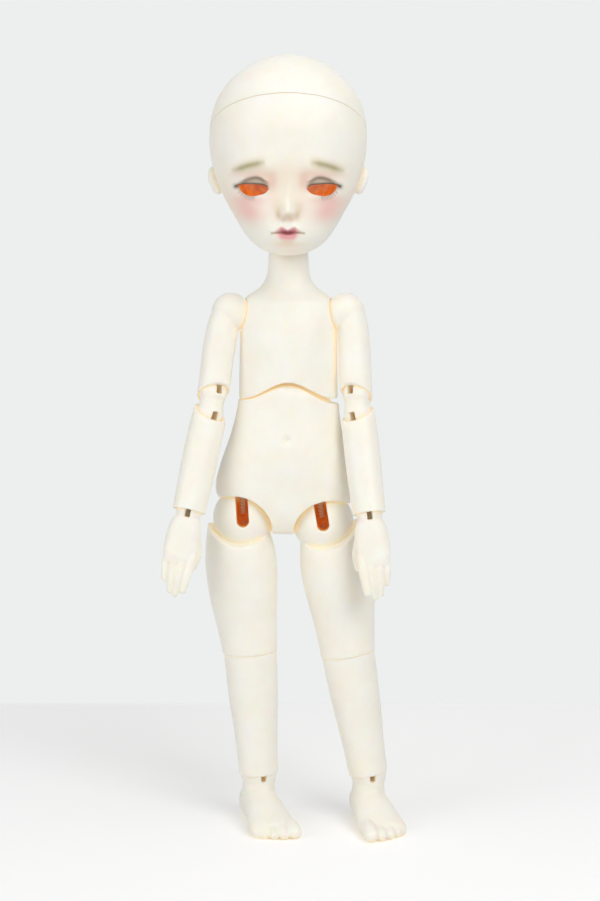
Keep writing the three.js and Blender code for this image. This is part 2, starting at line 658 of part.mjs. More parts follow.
function foot() {
  const sections = [
    [-12.4, 2.6, 2.8, 0, 4.6], [-11, 4.8, 5.2, 0, 5], [-8, 6, 6.6, 0, 6], [-3, 6.4, 7.4, 0, 6.6],
    [3, 6.7, 7.2, 0, 6.4], [9, 7.4, 6.4, 0, 4.6], [15, 8.4, 5.2, 0.4, 2.8], [19, 8.6, 4.2, 0.6, 1.8],
    [21.5, 7.6, 3, 0, 1.6],
  ];
  const column = limb([[-11, 5.6, 6.6, 0, 0.6], [-7, 5.5, 6.1, 0, 0.3], [-1.5, 5.2, 5.4]]);
  const tread = geometryOf(limb(sections)).rotateX(Math.PI / 2).translate(0, 0, -ankleHeight);
  const digits = toes.map(({ root, tip, radius }) => {
    const level = radius * 0.85 - ankleHeight;
    return finger([[...root, level + 1], [(root[0] + tip[0]) / 2, (root[1] + tip[1]) / 2, level + 0.9],
      [...tip, level]], radius, radius * 0.85, 2);
  });
  const shape = union([solidOf(tread), ...digits, column, ball(ankleBall)]);
  return shape.subtract(below(0, -ankleHeight, 0)).subtract(hookPocket(ankleBall, -ankleSwing, ankleSlot));
}

// Stringing, for the left side: a stretch of elastic for every piece that it runs through

const stretches = {
  shoulder: () => cord([[-shoulderOffset + clearance / 2, 0, 0], [-cordStop, 0, 0]]),
  upper_arm: () => cord(upperArmRoute),
  elbow: () => cord([[0, 0, -cordStop], [0, 0, cordStop - elbowLength]]),
  forearm: () => cord(downTo(forearmLength)),
  hip: () => cord([[0, 0, cordStop], [0, 0, hipCordReach]]),
  thigh: () => cord([cordStop / thighLength, 1 - cordStop / thighLength].map(thighLine)),
  shin: () => cord(downTo(shinLength)),
};

function thighLine(share) {
  return [share * kneeOffset, 0, -share * thighLength];
}

// From a joint centre down to the upper eye of the hook at the other end.
function downTo(length) {
  return [[0, 0, -cordStop], [0, 0, hookLength + eyeReach + clearance - length]];
}

// Assembly in the standing pose

const resin = new THREE.MeshStandardMaterial({ color: 0xf6eedc, roughness: 0.5, metalness: 0 });
const steel = new THREE.MeshStandardMaterial({ color: 0xb8bcc0, roughness: 0.3, metalness: 1 });
const elastic = new THREE.MeshStandardMaterial({ color: 0xf2f0ea, roughness: 0.85, metalness: 0 });
const doll = new THREE.Group();

function joint(parent, name, place, turn = {}) {
  const group = new THREE.Group();
  group.name = name;
  group.position.set(...place);
  group.rotation.set(radians(turn.x ?? 0), radians(turn.y ?? 0), radians(turn.z ?? 0));
  parent.add(group);
  return group;
}

function add(parent, name, geometry, material) {
  const mesh = new THREE.Mesh(geometry, material);
  mesh.name = name;
  parent.add(mesh);
}

function shoulderPlace(side) {
  return [side * shoulderOffset, 0, shoulderHeight];
}

// How high each hip centre stands over its ankle, and the roll of the pelvis that this gives.
const legLength = thighLength + shinLength;
const hipHeights = [['right', -1], ['left', 1]].map(([name, side]) => {
  const lean = radians(stance[name].leg);
  return legLength * Math.cos(lean) - side * kneeOffset * Math.sin(lean);
});
const roll = THREE.MathUtils.radToDeg(Math.asin((hipHeights[0] - hipHeights[1]) / (2 * hipOffset)));
const standing = ankleHeight + (hipHeights[0] + hipHeights[1]) / 2;

const pelvis = joint(doll, 'root', [0, 0, standing], { y: roll });
const chest = joint(pelvis, 'waist', [0, 0, waistHeight], { y: -roll });
const head = joint(chest, 'neck', [0, spineDepth, neckHeight], { x: headNod });

add(pelvis, 'pelvis', geometryOf(pelvisShell()), resin);
add(chest, 'chest', geometryOf(chestShell()), resin);
add(chest, 'trunk_elastic', geometryOf(cord(trunkCordRoute)), elastic);
const neckTail = [[0, 0, -eyeReach - clearance], [0, 0, -neckCordReach]];
add(head, 'neck_elastic', geometryOf(cord(neckTail)), elastic);
add(head, 'neck_hook', geometryOf(neckHook()), steel);

const shell = headShell();
add(head, 'head_face', geometryOf(shell.intersect(below(0, capRise - clearance / 2, -capSlope))), resin);
add(head, 'head_cap', geometryOf(shell.subtract(below(0, capRise + clearance / 2, -capSlope))), resin);
for (const [name, side] of [['right', -1], ['left', 1]]) {
  const start = clearance / 2;
  const end = start + magnetThickness;
  add(head, `face_magnet_${name}`, geometryOf(magnetAt(side, -end, -start)), steel);
  add(head, `cap_magnet_${name}`, geometryOf(magnetAt(side, start, end)), steel);
}

const shapes = {
  upper_arm: upperArm(), elbow_ball: elbowPiece(), forearm: forearm(), hand: hand(),
  thigh: thigh(), shin: shin(), foot: foot(), hook: wireHook(),
};

// The leg elastic runs in one loop from hip to hip, over the end of the trunk elastic.
const hipLine = (name, side) => {
  const lean = radians(stance[name].leg + roll);
  const reach = hipCordReach + cordDiameter / 2 + clearance;
  return [side * hipOffset - reach * Math.sin(lean), 0, reach * Math.cos(lean)];
};
const legLoop = [
  hipLine('right', -1), [-6, 0, waistHeight - 15], [-2.5, 0, waistHeight - 6], [0, 0, waistHeight - 3.5],
  [2.5, 0, waistHeight - 6], [6, 0, waistHeight - 15], hipLine('left', 1),
];
add(pelvis, 'pelvis_elastic', geometryOf(cord(legLoop)), elastic);

for (const [name, side] of [['right', -1], ['left', 1]]) {
  const pose = stance[name];
  const place = (parent, node, solid, material) => {
    const geometry = geometryOf(solid);
    add(parent, `${node}_${name}`, side > 0 ? geometry : mirrored(geometry), material);
  };
  const string = (parent, node) => place(parent, `${node}_elastic`, stretches[node](), elastic);

  const shoulder = joint(chest, `shoulder_${name}`, shoulderPlace(side), { x: -pose.armForward });
  string(shoulder, 'shoulder');
  const upper = joint(shoulder, `arm_${name}`, [0, 0, 0], { y: -pose.arm });
  place(upper, 'upper_arm', shapes.upper_arm, resin);
  string(upper, 'upper_arm');
  const turn = -side * elbowTurn;
  const bend = { x: -pose.elbow, y: -pose.carry / 2, z: turn };
  const elbow = joint(upper, `elbow_${name}`, [side * upperArmOffset, 0, -upperArmLength], bend);
  place(elbow, 'elbow_ball', shapes.elbow_ball, resin);
  string(elbow, 'elbow');
  const straight = joint(elbow, `elbow_straight_${name}`, [0, 0, -elbowLength], { z: -turn });
  const lower = joint(straight, `elbow_lower_${name}`, [0, 0, 0], bend);
  place(lower, 'forearm', shapes.forearm, resin);
  string(lower, 'forearm');
  const wrist = joint(lower, `wrist_${name}`, [0, 0, -forearmLength], { z: -turn });
  place(wrist, 'hand_hook', shapes.hook, steel);
  place(wrist, 'hand', shapes.hand, resin);

  const hip = joint(pelvis, `hip_${name}`, [side * hipOffset, 0, 0], { y: -pose.leg - roll });
  string(hip, 'hip');
  place(hip, 'thigh', shapes.thigh, resin);
  string(hip, 'thigh');
  const knee = joint(hip, `knee_${name}`, [side * kneeOffset, 0, -thighLength]);
  place(knee, 'shin', shapes.shin, resin);
  string(knee, 'shin');
  const level = joint(knee, `level_${name}`, [0, 0, -shinLength], { y: pose.leg });
  const ankle = joint(level, `ankle_${name}`, [0, 0, 0], { z: pose.foot });
  place(ankle, 'foot_hook', shapes.hook, steel);
  place(ankle, 'foot', shapes.foot, resin);
}

// The origin lies on the floor, under the middle of the doll's box.
doll.updateMatrixWorld(true);
const extent = new THREE.Box3().setFromObject(doll, true);
const middle = extent.getCenter(new THREE.Vector3());
doll.position.set(-middle.x, -middle.y, -extent.min.z);

export default doll;
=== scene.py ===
import json
import math

import bpy
import numpy as np
from mathutils import Matrix, Vector
from mathutils.bvhtree import BVHTree


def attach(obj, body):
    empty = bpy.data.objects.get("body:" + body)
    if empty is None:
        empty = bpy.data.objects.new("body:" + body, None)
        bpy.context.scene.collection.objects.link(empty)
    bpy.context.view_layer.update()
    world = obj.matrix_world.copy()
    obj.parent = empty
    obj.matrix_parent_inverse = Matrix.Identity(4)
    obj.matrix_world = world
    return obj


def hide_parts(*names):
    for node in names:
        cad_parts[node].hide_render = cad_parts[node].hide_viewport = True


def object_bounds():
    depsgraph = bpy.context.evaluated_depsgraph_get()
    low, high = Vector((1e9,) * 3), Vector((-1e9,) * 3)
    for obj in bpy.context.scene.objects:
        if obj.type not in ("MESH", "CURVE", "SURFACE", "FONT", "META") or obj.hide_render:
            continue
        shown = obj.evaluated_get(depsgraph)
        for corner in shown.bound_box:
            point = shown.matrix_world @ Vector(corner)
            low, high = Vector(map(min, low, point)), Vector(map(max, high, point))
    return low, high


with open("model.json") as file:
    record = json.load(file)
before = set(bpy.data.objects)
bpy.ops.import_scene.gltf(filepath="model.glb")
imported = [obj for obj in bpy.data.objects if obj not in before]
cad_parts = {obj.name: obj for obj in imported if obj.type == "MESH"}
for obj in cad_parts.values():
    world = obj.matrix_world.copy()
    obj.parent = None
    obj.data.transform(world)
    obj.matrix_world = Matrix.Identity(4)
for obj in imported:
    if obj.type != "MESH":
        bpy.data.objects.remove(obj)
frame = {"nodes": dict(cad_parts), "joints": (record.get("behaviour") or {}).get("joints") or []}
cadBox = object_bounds()
scene = bpy.context.scene
mm = 0.001
sides = {"right": -1, "left": 1}
print("frame loaded:", len(frame["nodes"]), "nodes")


# the standing pose, the same lengths (mm) and leans (degrees) as the solids
pose = {
    "ankle": 17, "shin": 45, "thigh": 48, "hipSide": 14, "kneeSide": 1, "waist": 39,
    "shoulderSide": 20, "shoulder": 34, "neckBack": 2.6, "neck": 57, "headNod": 3,
    "upperArm": 29, "armSide": 2.4, "elbow": 6.9, "forearm": 36, "elbowTurn": 30,
    "right": {"leg": 3.8, "foot": 19, "arm": -7.5, "armForward": 9, "elbow": 3, "carry": -4},
    "left": {"leg": 9.6, "foot": 13, "arm": 2.5, "armForward": 10, "elbow": 3, "carry": 3.5},
}


def place(x=0, y=0, z=0):
    return Matrix.Translation(Vector((x, y, z)) * mm)


def turn(x=0, y=0, z=0):
    angles = ((x, "X"), (y, "Y"), (z, "Z"))
    rx, ry, rz = (Matrix.Rotation(math.radians(angle), 4, axis) for angle, axis in angles)
    return rx @ ry @ rz


def standingPlaces():
    leg = pose["shin"] + pose["thigh"]
    heights = {}
    for name, side in sides.items():
        lean = math.radians(pose[name]["leg"])
        heights[name] = leg * math.cos(lean) - side * pose["kneeSide"] * math.sin(lean)
    roll = math.degrees(math.asin((heights["right"] - heights["left"]) / (2 * pose["hipSide"])))
    at = {"pelvis": place(z=pose["ankle"] + (heights["right"] + heights["left"]) / 2) @ turn(y=roll)}
    at["chest"] = at["pelvis"] @ place(z=pose["waist"]) @ turn(y=-roll)
    at["head"] = at["chest"] @ place(y=pose["neckBack"], z=pose["neck"]) @ turn(x=pose["headNod"])
    for name, side in sides.items():
        p = pose[name]
        shoulder = at["chest"] @ place(side * pose["shoulderSide"], 0, pose["shoulder"])
        at["upperArm", name] = shoulder @ turn(x=-p["armForward"]) @ turn(y=-p["arm"])
        inwards = -side * pose["elbowTurn"]
        bend = turn(x=-p["elbow"], y=-p["carry"] / 2, z=inwards)
        back = turn(z=-inwards)
        at["elbow", name] = at["upperArm", name] @ place(side * pose["armSide"], 0, -pose["upperArm"]) @ bend
        at["forearm", name] = at["elbow", name] @ place(z=-pose["elbow"]) @ back @ bend
        at["hand", name] = at["forearm", name] @ place(z=-pose["forearm"]) @ back
        at["thigh", name] = at["pelvis"] @ place(side * pose["hipSide"]) @ turn(y=-p["leg"] - roll)
        at["shin", name] = at["thigh", name] @ place(side * pose["kneeSide"], 0, -pose["thigh"])
        at["foot", name] = at["shin", name] @ place(z=-pose["shin"]) @ turn(y=p["leg"]) @ turn(z=p["foot"])
    # the solids are centred over the floor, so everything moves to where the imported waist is
    waist = next(j for j in frame["joints"] if j["name"] == "waist_bend")
    shift = Matrix.Translation(Vector(waist["pos_m"]) - at["chest"].translation)
    return {key: shift @ matrix for key, matrix in at.items()}


at = standingPlaces()


# small helpers for modelling by operators

def only(obj):
    bpy.ops.object.select_all(action="DESELECT")
    obj.select_set(True)
    bpy.context.view_layer.objects.active = obj
    return obj


def edit(obj):
    only(obj)
    bpy.ops.object.mode_set(mode="EDIT")
    bpy.ops.mesh.select_all(action="SELECT")


def done():
    bpy.ops.object.mode_set(mode="OBJECT")


def faceOutwards():
    bpy.ops.mesh.select_all(action="SELECT")
    bpy.ops.mesh.normals_make_consistent(inside=False)
    done()


def settle(obj):
    only(obj)
    bpy.ops.object.transform_apply(location=True, rotation=True, scale=True)
    return obj


def modify(obj, kind, **settings):
    only(obj)
    bpy.ops.object.modifier_add(type=kind)
    modifier = obj.modifiers[-1]
    for key, value in settings.items():
        setattr(modifier, key, value)
    bpy.ops.object.modifier_apply(modifier=modifier.name)
    return obj


def combine(obj, tools, operation):
    for tool in tools:
        modify(obj, "BOOLEAN", operation=operation, solver="MANIFOLD", object=tool)
        bpy.data.objects.remove(tool, do_unlink=True)
    return obj


def ballAt(radius, center=(0, 0, 0), segments=56, rings=36):
    bpy.ops.mesh.primitive_uv_sphere_add(
        segments=segments, ring_count=rings, radius=radius * mm, location=Vector(center) * mm)
    return settle(bpy.context.active_object)


def rodAt(radius, start, end, sidesRound=24):
    a, b = Vector(start) * mm, Vector(end) * mm
    bpy.ops.mesh.primitive_cylinder_add(
        vertices=sidesRound, radius=radius * mm, depth=(b - a).length, location=(a + b) / 2,
        rotation=(b - a).to_track_quat("Z", "Y").to_euler())
    return settle(bpy.context.active_object)


# a tower of rings, extruded from the lowest (z, half width, half depth, x, y), in mm
def ringTower(rings, around=20, level=3):
    full = [tuple(ring) + (0,) * (5 - len(ring)) for ring in rings]
    z, w, d, x, y = full[0]
    bpy.ops.object.select_all(action="DESELECT")
    bpy.ops.mesh.primitive_circle_add(vertices=around, radius=1, fill_type="NGON")
    obj = bpy.context.active_object
    edit(obj)
    bpy.ops.transform.resize(value=(w * mm, d * mm, 1))
    bpy.ops.transform.translate(value=(x * mm, y * mm, z * mm))
    for z1, w1, d1, x1, y1 in full[1:]:
        step = ((x1 - x) * mm, (y1 - y) * mm, (z1 - z) * mm)
        bpy.ops.mesh.extrude_region_move(TRANSFORM_OT_translate={"value": step})
        middle = (x1 * mm, y1 * mm, z1 * mm)
        bpy.ops.transform.resize(value=(w1 / w, d1 / d, 1), center_override=middle)
        z, w, d, x, y = z1, w1, d1, x1, y1
    faceOutwards()
    return modify(obj, "SUBSURF", levels=level, render_levels=level)


# cuts away what lies on the normal's side of a plane and closes the cut
def trim(obj, point, normal):
    edit(obj)
    bpy.ops.mesh.bisect(plane_co=Vector(point) * mm, plane_no=normal, use_fill=True, clear_outer=True)
    done()
    return obj


# the path of a cord or hook that swings in a slot: a disc trimmed to the swing (degrees from zero)
def slotTool(center, radius, width, zero, towards, swing, half):
    zero, towards = Vector(zero), Vector(towards)
    axis = zero.cross(towards)
    bpy.ops.mesh.primitive_cylinder_add(
        vertices=64, radius=radius * mm, depth=width * mm, rotation=axis.to_track_quat("Z", "Y").to_euler())
    disc = settle(bpy.context.active_object)
    for angle, out in zip(swing, (-1, 1)):
        a = math.radians(angle)
        normal = out * (towards * math.cos(a) - zero * math.sin(a))
        trim(disc, normal * half, normal)
    disc.location = Vector(center) * mm
    return settle(disc)


def coords(obj):
    flat = np.empty(len(obj.data.vertices) * 3)
    obj.data.vertices.foreach_get("co", flat)
    return flat.reshape(-1, 3) / mm


def setCoords(obj, points):
    obj.data.vertices.foreach_set("co", (points * mm).ravel())
    obj.data.update()


# brush strokes: each spot pushes the skin along its normal, (x, y, z, reach x, y, z, push), in mm
def swell(obj, spots):
    points = coords(obj)
    normals = np.empty(points.size)
    obj.data.vertices.foreach_get("normal", normals)
    push = np.zeros(len(points))
    for x, y, z, rx, ry, rz, out in spots:
        far = ((points - (x, y, z)) / (rx, ry, rz)) ** 2
        push += out * np.exp(-far.sum(axis=1))
    setCoords(obj, points + normals.reshape(-1, 3) * push[:, None])
    return obj


# a spot beside the middle is made on both sides
def bothSides(spots):
    return [(side * x, *rest) for x, *rest in spots for side in ((-1, 1) if x else (1,))]


def copyOf(obj):
    only(obj)
    bpy.ops.object.duplicate()
    return bpy.context.active_object


# one cast skin over a carved piece, with softened edges; its depth under the uncut skin is kept, less
# of it for small balls, which let more light through
def castSkin(obj, uncut, voxel, rounds=5, share=1.0):
    modify(obj, "REMESH", mode="VOXEL", voxel_size=voxel * mm)
    modify(obj, "SMOOTH", factor=0.5, iterations=rounds)
    tree = BVHTree.FromObject(uncut, bpy.context.evaluated_depsgraph_get())
    # the depth sets the painted shade and glow of cuts
    depths = [tree.find_nearest(v.co)[3] / mm * share for v in obj.data.vertices]
    obj.data.attributes.new("depth", "FLOAT", "POINT").data.foreach_set("value", depths)
    bpy.data.objects.remove(uncut, do_unlink=True)
    only(obj)
    bpy.ops.object.shade_smooth()
    return obj


def otherSide(obj):
    twin = copyOf(obj)
    twin.scale = (-1, 1, 1)
    settle(twin)
    edit(twin)
    faceOutwards()
    return twin


def install(obj, name, matrix, body, nodes, material):
    obj.matrix_world = matrix
    settle(obj)
    obj.name = obj.data.name = name
    obj.data.materials.clear()
    obj.data.materials.append(material)
    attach(obj, body)
    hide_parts(*nodes)
    return obj


# one limb, modelled for the left side, is copied to the right
def installPair(obj, key, name, body):
    pair = {"right": otherSide(obj), "left": obj}
    for side, piece in pair.items():
        install(piece, f"{name}_cast_{side}", at[key, side], f"{body}_{side}", [f"{name}_{side}"],
                bodyResin)
    print("cast", name, len(obj.data.polygons), "faces each")


# materials

def tint(hexCode):
    channels = [int(hexCode[i:i + 2], 16) / 255 for i in (1, 3, 5)]
    linear = [c / 12.92 if c <= 0.04045 else ((c + 0.055) / 1.055) ** 2.4 for c in channels]
    return (*linear, 1)


# each input, by name or as i and its number, takes a value or another node's output
def feed(tree, target, **inputs):
    for key, value in inputs.items():
        numbered = key[0] == "i" and key[1:].isdigit()
        socket = target.inputs[int(key[1:]) if numbered else key.replace("_", " ")]
        if isinstance(value, bpy.types.NodeSocket):
            tree.links.new(value, socket)
        else:
            socket.default_value = value
    return target


def node(tree, kind, settings=None, **inputs):
    made = tree.nodes.new(kind)
    for key, value in (settings or {}).items():
        setattr(made, key, value)
    return feed(tree, made, **inputs)


def ramp(tree, factor, *stops):
    made = node(tree, "ShaderNodeValToRGB", i0=factor)
    elements = made.color_ramp.elements
    while len(elements) < len(stops):
        elements.new(0.5)
    for element, (position, color) in zip(elements, stops):
        element.position, element.color = position, color
    return made.outputs["Color"]


def calc(tree, operation, a, b):
    return node(tree, "ShaderNodeMath", {"operation": operation}, i0=a, i1=b).outputs[0]


def blend(tree, factor, a, b):
    return node(tree, "ShaderNodeMix", {"data_type": "RGBA"}, Factor=factor, i6=a, i7=b).outputs[2]


def spread(tree, value, start, end, low=0.0, high=1.0):
    made = node(tree, "ShaderNodeMapRange", Value=value, From_Min=start, From_Max=end, To_Min=low, To_Max=high)
    return made.outputs[0]


def attribute(tree, name, output="Fac"):
    return node(tree, "ShaderNodeAttribute", {"attribute_name": name}).outputs[output]


def noise(tree, size, detail):
    where = node(tree, "ShaderNodeTexCoord").outputs["Object"]
    return node(tree, "ShaderNodeTexNoise", Vector=where, Scale=1 / size, Detail=detail).outputs["Fac"]


def bump(tree, strength, distance, height):
    return node(tree, "ShaderNodeBump", Strength=strength, Distance=distance, Height=height).outputs[0]


def newMaterial(name):
    material = bpy.data.materials.new(name)
    material.use_nodes = True
    tree = material.node_tree
    return material, tree, tree.nodes["Principled BSDF"]


resin = {
    # fold is painted warm shade in creases and seams, with a faint painted glow
    "light": "#FDF9EF", "shade": "#FBF4E6", "fold": "#F4E2BE", "creaseGlow": 0.24,
    # painted shade and glow of a cut: its colours, darker and warmer, from the skin to cutDepth (mm) under it
    "cut": [(0, "#F3E2BC"), (0.25, "#DEC48A"), (0.45, "#C6A666"), (1, "#C2621C")], "cutDepth": 5.0,
    "creaseShadeReach": 2.2,   # mm, how near another surface has to be for the painted warm shade between them
    "mottle": 9.0,      # mm, the size of the faint cloudiness in the cast
    "tooth": 0.35,      # mm, the sanding tooth, drawn coarser than the real 0.05 so that it shows
    "inside": "#E47C06", "glow": 0.62, "fleck": 2.6,  # the painted glow inside the head, and its uneven patches
    "slotGlow": 0.5, "faceCreaseGlow": 0.4, "scatter": 0.4, "scatterReach": 2.4, "scatterTint": (1.0, 0.55, 0.25),
}


# cast polyurethane resin, sanded, matt: light sinks in a little; painted warm shade and glow in cuts and
# creases
def resinMaterial(name, painted):
    material, tree, surface = newMaterial(name)
    cloud = noise(tree, resin["mottle"] * mm, 3.0)
    skin = ramp(tree, cloud, (0.3, tint(resin["shade"])), (0.7, tint(resin["light"])))
    depth = attribute(tree, "depth")
    deep = calc(tree, "DIVIDE", depth, resin["cutDepth"])
    cutShadeAndGlow = ramp(tree, deep, *((share, tint(color)) for share, color in resin["cut"]))
    # painted shade: where another surface is near, the skin takes the warm fold colour
    openness = node(tree, "ShaderNodeAmbientOcclusion", {"samples": 6}, Distance=resin["creaseShadeReach"] * mm)
    fold = spread(tree, openness.outputs["AO"], 0.25, 0.8, 0.85, 0.0)
    skin = blend(tree, fold, skin, tint(resin["fold"]))
    # painted shade: cut surfaces darken and warm with depth
    color = blend(tree, spread(tree, depth, 0.25, 1.2), skin, cutShadeAndGlow)
    if painted:
        color = blend(tree, attribute(tree, "paint", "Alpha"), color, attribute(tree, "paint", "Color"))
        rough = spread(tree, attribute(tree, "gloss"), 0, 1, 0.46, 0.12)
        light = attribute(tree, "light")
    else:
        rough = spread(tree, cloud, 0, 1, 0.4, 0.52)
        # painted glow in the deeper cuts and slots
        light = spread(tree, depth, 0.6, 3.5)
    # painted glow: emission stands in for daylight that has come through the cast, unevenly
    uneven = spread(tree, noise(tree, resin["fleck"] * mm, 3.0), 0.34, 0.66, 0.5, 1.05)
    strength = resin["glow"] if painted else resin["slotGlow"]
    glow = calc(tree, "MULTIPLY", calc(tree, "MULTIPLY", light, uneven), strength)
    # painted glow: creases glow faintly in the fold colour
    creaseGlowStrength = calc(tree, "MULTIPLY", fold, resin["creaseGlow"] * (resin["faceCreaseGlow"] if painted else 1))
    hue = blend(tree, light, tint(resin["fold"]), tint(resin["inside"]) if painted else cutShadeAndGlow)
    tooth = noise(tree, resin["tooth"] * mm, 2.0)
    feed(tree, surface, Base_Color=color, Roughness=rough, IOR=1.47, Emission_Color=hue,
         Emission_Strength=calc(tree, "MAXIMUM", glow, creaseGlowStrength), Normal=bump(tree, 0.06, 0.05 * mm, tooth),
         Subsurface_Weight=resin["scatter"], Subsurface_Radius=resin["scatterTint"],
         Subsurface_Scale=resin["scatterReach"] * mm)
    return material


bodyResin = resinMaterial("castResin", False)
faceResin = resinMaterial("castResinPainted", True)
print("materials ready")


# arms

arm = {
    "shoulderBall": 6.8, "elbowBall": 4.8, "wristBall": 4.3, "fit": 0.3, "bore": 1.3, "slot": 2.6,
    "elbowWaist": 4.2, "elbowSlot": 2.1, "elbowSwing": (-5, 76),
    "shoulderReach": 7.8, "shoulderSwing": (-5, 96),
    "upper": [(-42, 5.6, 5.7, 2.4), (-36, 5.7, 5.8, 2.4), (-29, 5.7, 5.85, 2.4), (-22, 5.65, 5.9, 2.45),
              (-14, 5.8, 6.2, 2.6), (-7, 5.7, 6.6, 2.35), (-1, 5.2, 6.6, 1.8), (3.4, 4.2, 5.6, 1.3),
              (5.2, 2.6, 3.6, 1)],
    "lower": [(-41, 5.85, 5.45, 0), (-37, 5.95, 5.55), (-32, 5.95, 5.55), (-25, 6.2, 5.75), (-16, 6.45, 6),
              (-8, 6.35, 6.05), (-2, 6.1, 5.95), (4, 5.85, 5.85), (10, 5.75, 5.8)],
    "route": [(0, 0, 0), (1.2, 0, -8), (2.4, 0, -17)],  # of the elastic down to the elbow
    "notch": 32, "back": 5.5, "elbowSeam": 0.15, "wristSeam": 0.8, "well": 2.2, "wellDepth": 9.2,
    "cast": {"voxel": 0.26, "share": 0.45}, "elbowCast": {"voxel": 0.2, "share": 0.45},
}


def notchPlane(downwards):
    a = math.radians(arm["notch"])
    return Vector((0, -math.sin(a), -math.cos(a) if downwards else math.cos(a)))


def makeArm():
    elbow = pose["elbow"]
    joint = (pose["armSide"], 0, -pose["upperArm"])
    upper = ringTower(arm["upper"])
    inwards = turn(z=-pose["elbowTurn"])
    height = joint[2] - elbow / 2 + arm["elbowSeam"]
    cut = inwards @ Vector((0, arm["back"], height)) + Vector((pose["armSide"], 0, 0))
    trim(upper, cut, inwards @ notchPlane(True))
    combine(upper, [ballAt(arm["shoulderBall"])], "UNION")
    uncut = copyOf(upper)
    route = arm["route"] + [joint]
    tools = [rodAt(arm["bore"], a, b) for a, b in zip(route, route[1:])]
    tools.append(ballAt(arm["elbowBall"] + arm["fit"], joint))
    tools.append(slotTool(
        (0, 0, 0), arm["shoulderReach"], arm["slot"], (-1, 0, 0), (0, 0, 1), arm["shoulderSwing"], arm["bore"]))
    combine(upper, tools, "DIFFERENCE")
    installPair(castSkin(upper, uncut, **arm["cast"]), "upperArm", "upper_arm", "upper_arm")

    lower = (0, 0, -elbow)
    piece = ballAt(arm["elbowBall"])
    combine(piece, [ballAt(arm["elbowBall"], lower), rodAt(arm["elbowWaist"], (0, 0, 0), lower, 56)], "UNION")
    uncut = copyOf(piece)
    reach = arm["elbowBall"] + 1
    slots = [slotTool(ball, reach, arm["elbowSlot"], (0, 0, out), (0, -1, 0), arm["elbowSwing"], arm["bore"])
             for ball, out in (((0, 0, 0), 1), (lower, -1))]
    combine(piece, slots + [rodAt(arm["bore"], (0, 0, 0), lower)], "DIFFERENCE")
    installPair(castSkin(piece, uncut, **arm["elbowCast"]), "elbow", "elbow_ball", "elbow")

    wrist = (0, 0, -pose["forearm"])
    forearm = ringTower(arm["lower"])
    trim(forearm, (0, arm["back"], elbow / 2 - arm["elbowSeam"]), notchPlane(False))
    trim(forearm, (0, 0, wrist[2] + arm["wristSeam"]), (0, 0, -1))
    uncut = copyOf(forearm)
    combine(forearm, [
        ballAt(arm["elbowBall"] + arm["fit"]), ballAt(arm["wristBall"] + arm["fit"], wrist),
        rodAt(arm["well"], wrist, (0, 0, wrist[2] + arm["wellDepth"])),
        rodAt(arm["bore"], (0, 0, 0), wrist)], "DIFFERENCE")
    installPair(castSkin(forearm, uncut, **arm["cast"]), "forearm", "forearm", "forearm")


makeArm()


# hands: a palm with bent fingers grown into one skin

hand = {
    "palm": [(-18.5, 5, 2), (-16.5, 5.7, 2.5), (-13.5, 6.1, 3), (-9.5, 6.2, 3.6, 0, 0.1), (-6, 6, 4),
             (-3.6, 5.5, 4.1), (-2.4, 5, 4), (-1.4, 4.3, 3.8), (1, 3.6, 3.4)],
    "fingers": [  # root, knuckle, middle, end, tip and radii at root and tip
        ((-4, 0, -12), (-4.4, -0.6, -16), (-4.3, -0.4, -20), (-4, 0.4, -23.6), (-3.6, 1.6, -26.3), 1.8, 1.2),
        ((-1.4, 0, -12), (-1.5, -0.9, -16.5), (-1.4, -0.6, -21.3), (-1.3, 0.5, -25.2), (-1.1, 2, -28),
         1.85, 1.2),
        ((1.3, 0, -12), (1.4, -0.7, -16), (1.4, -0.3, -20.6), (1.3, 0.8, -24.4), (1.1, 2.3, -27), 1.8, 1.15),
        ((3.7, 0.2, -11), (4.1, 0, -14.6), (4.2, 0.2, -18.2), (4, 0.9, -21.2), (3.6, 1.9, -23.6), 1.65, 1.05),
        ((-3, 1.2, -6), (-5, 2.2, -9.5), (-5.8, 3, -13), (-5.8, 3.6, -15.5), (-5.5, 4, -17.3), 2.05, 1.3),
    ],
    "knuckle": (1.2, 1.2, 1.1, 0.22), "crease": (1.3, 1.2, 0.5, -0.12),  # reach and push
    "hookSwing": (-40, 104), "cast": {"voxel": 0.22, "rounds": 3, "share": 0.5},
}
hook = {"half": 0.9, "eye": 2.2}


# a finger or toe: a bevelled path through five points, with a rounded tip
def digit(points, rootRadius, tipRadius):
    bpy.ops.object.select_all(action="DESELECT")
    bpy.ops.curve.primitive_nurbs_path_add()
    bone = bpy.context.active_object
    spline = bone.data.splines[0]
    for i, (point, target) in enumerate(zip(spline.points, points)):
        share = i / (len(points) - 1)
        point.co = (*[v * mm for v in target], 1)
        point.radius = rootRadius + (tipRadius - rootRadius) * share
    spline.order_u = 4
    spline.use_endpoint_u = True
    bone.data.bevel_depth = mm
    bone.data.bevel_resolution = 6
    bone.data.use_fill_caps = True
    bone.location = (0, 0, 0)
    only(bone)
    bpy.ops.object.convert(target="MESH")
    bone = bpy.context.active_object
    return [bone, ballAt(tipRadius, points[-1], 24, 16), ballAt(rootRadius, points[0], 24, 16)]


def grow(pieces, voxel):
    bpy.ops.object.select_all(action="DESELECT")
    for piece in pieces:
        piece.select_set(True)
    bpy.context.view_layer.objects.active = pieces[0]
    bpy.ops.object.join()
    grown = bpy.context.active_object
    modify(grown, "REMESH", mode="VOXEL", voxel_size=voxel * mm)
    return modify(grown, "SMOOTH", factor=0.5, iterations=8)


# what the wire hook needs inside a wrist or ankle ball
def hookTools(ball, swing):
    half = hook["half"]
    slot = slotTool((0, 0, 0), ball + 1, 2 * half, (0, 0, 1), (0, -1, 0), swing, half)
    return [slot, rodAt(hook["eye"], (-half, 0, 0), (half, 0, 0))]


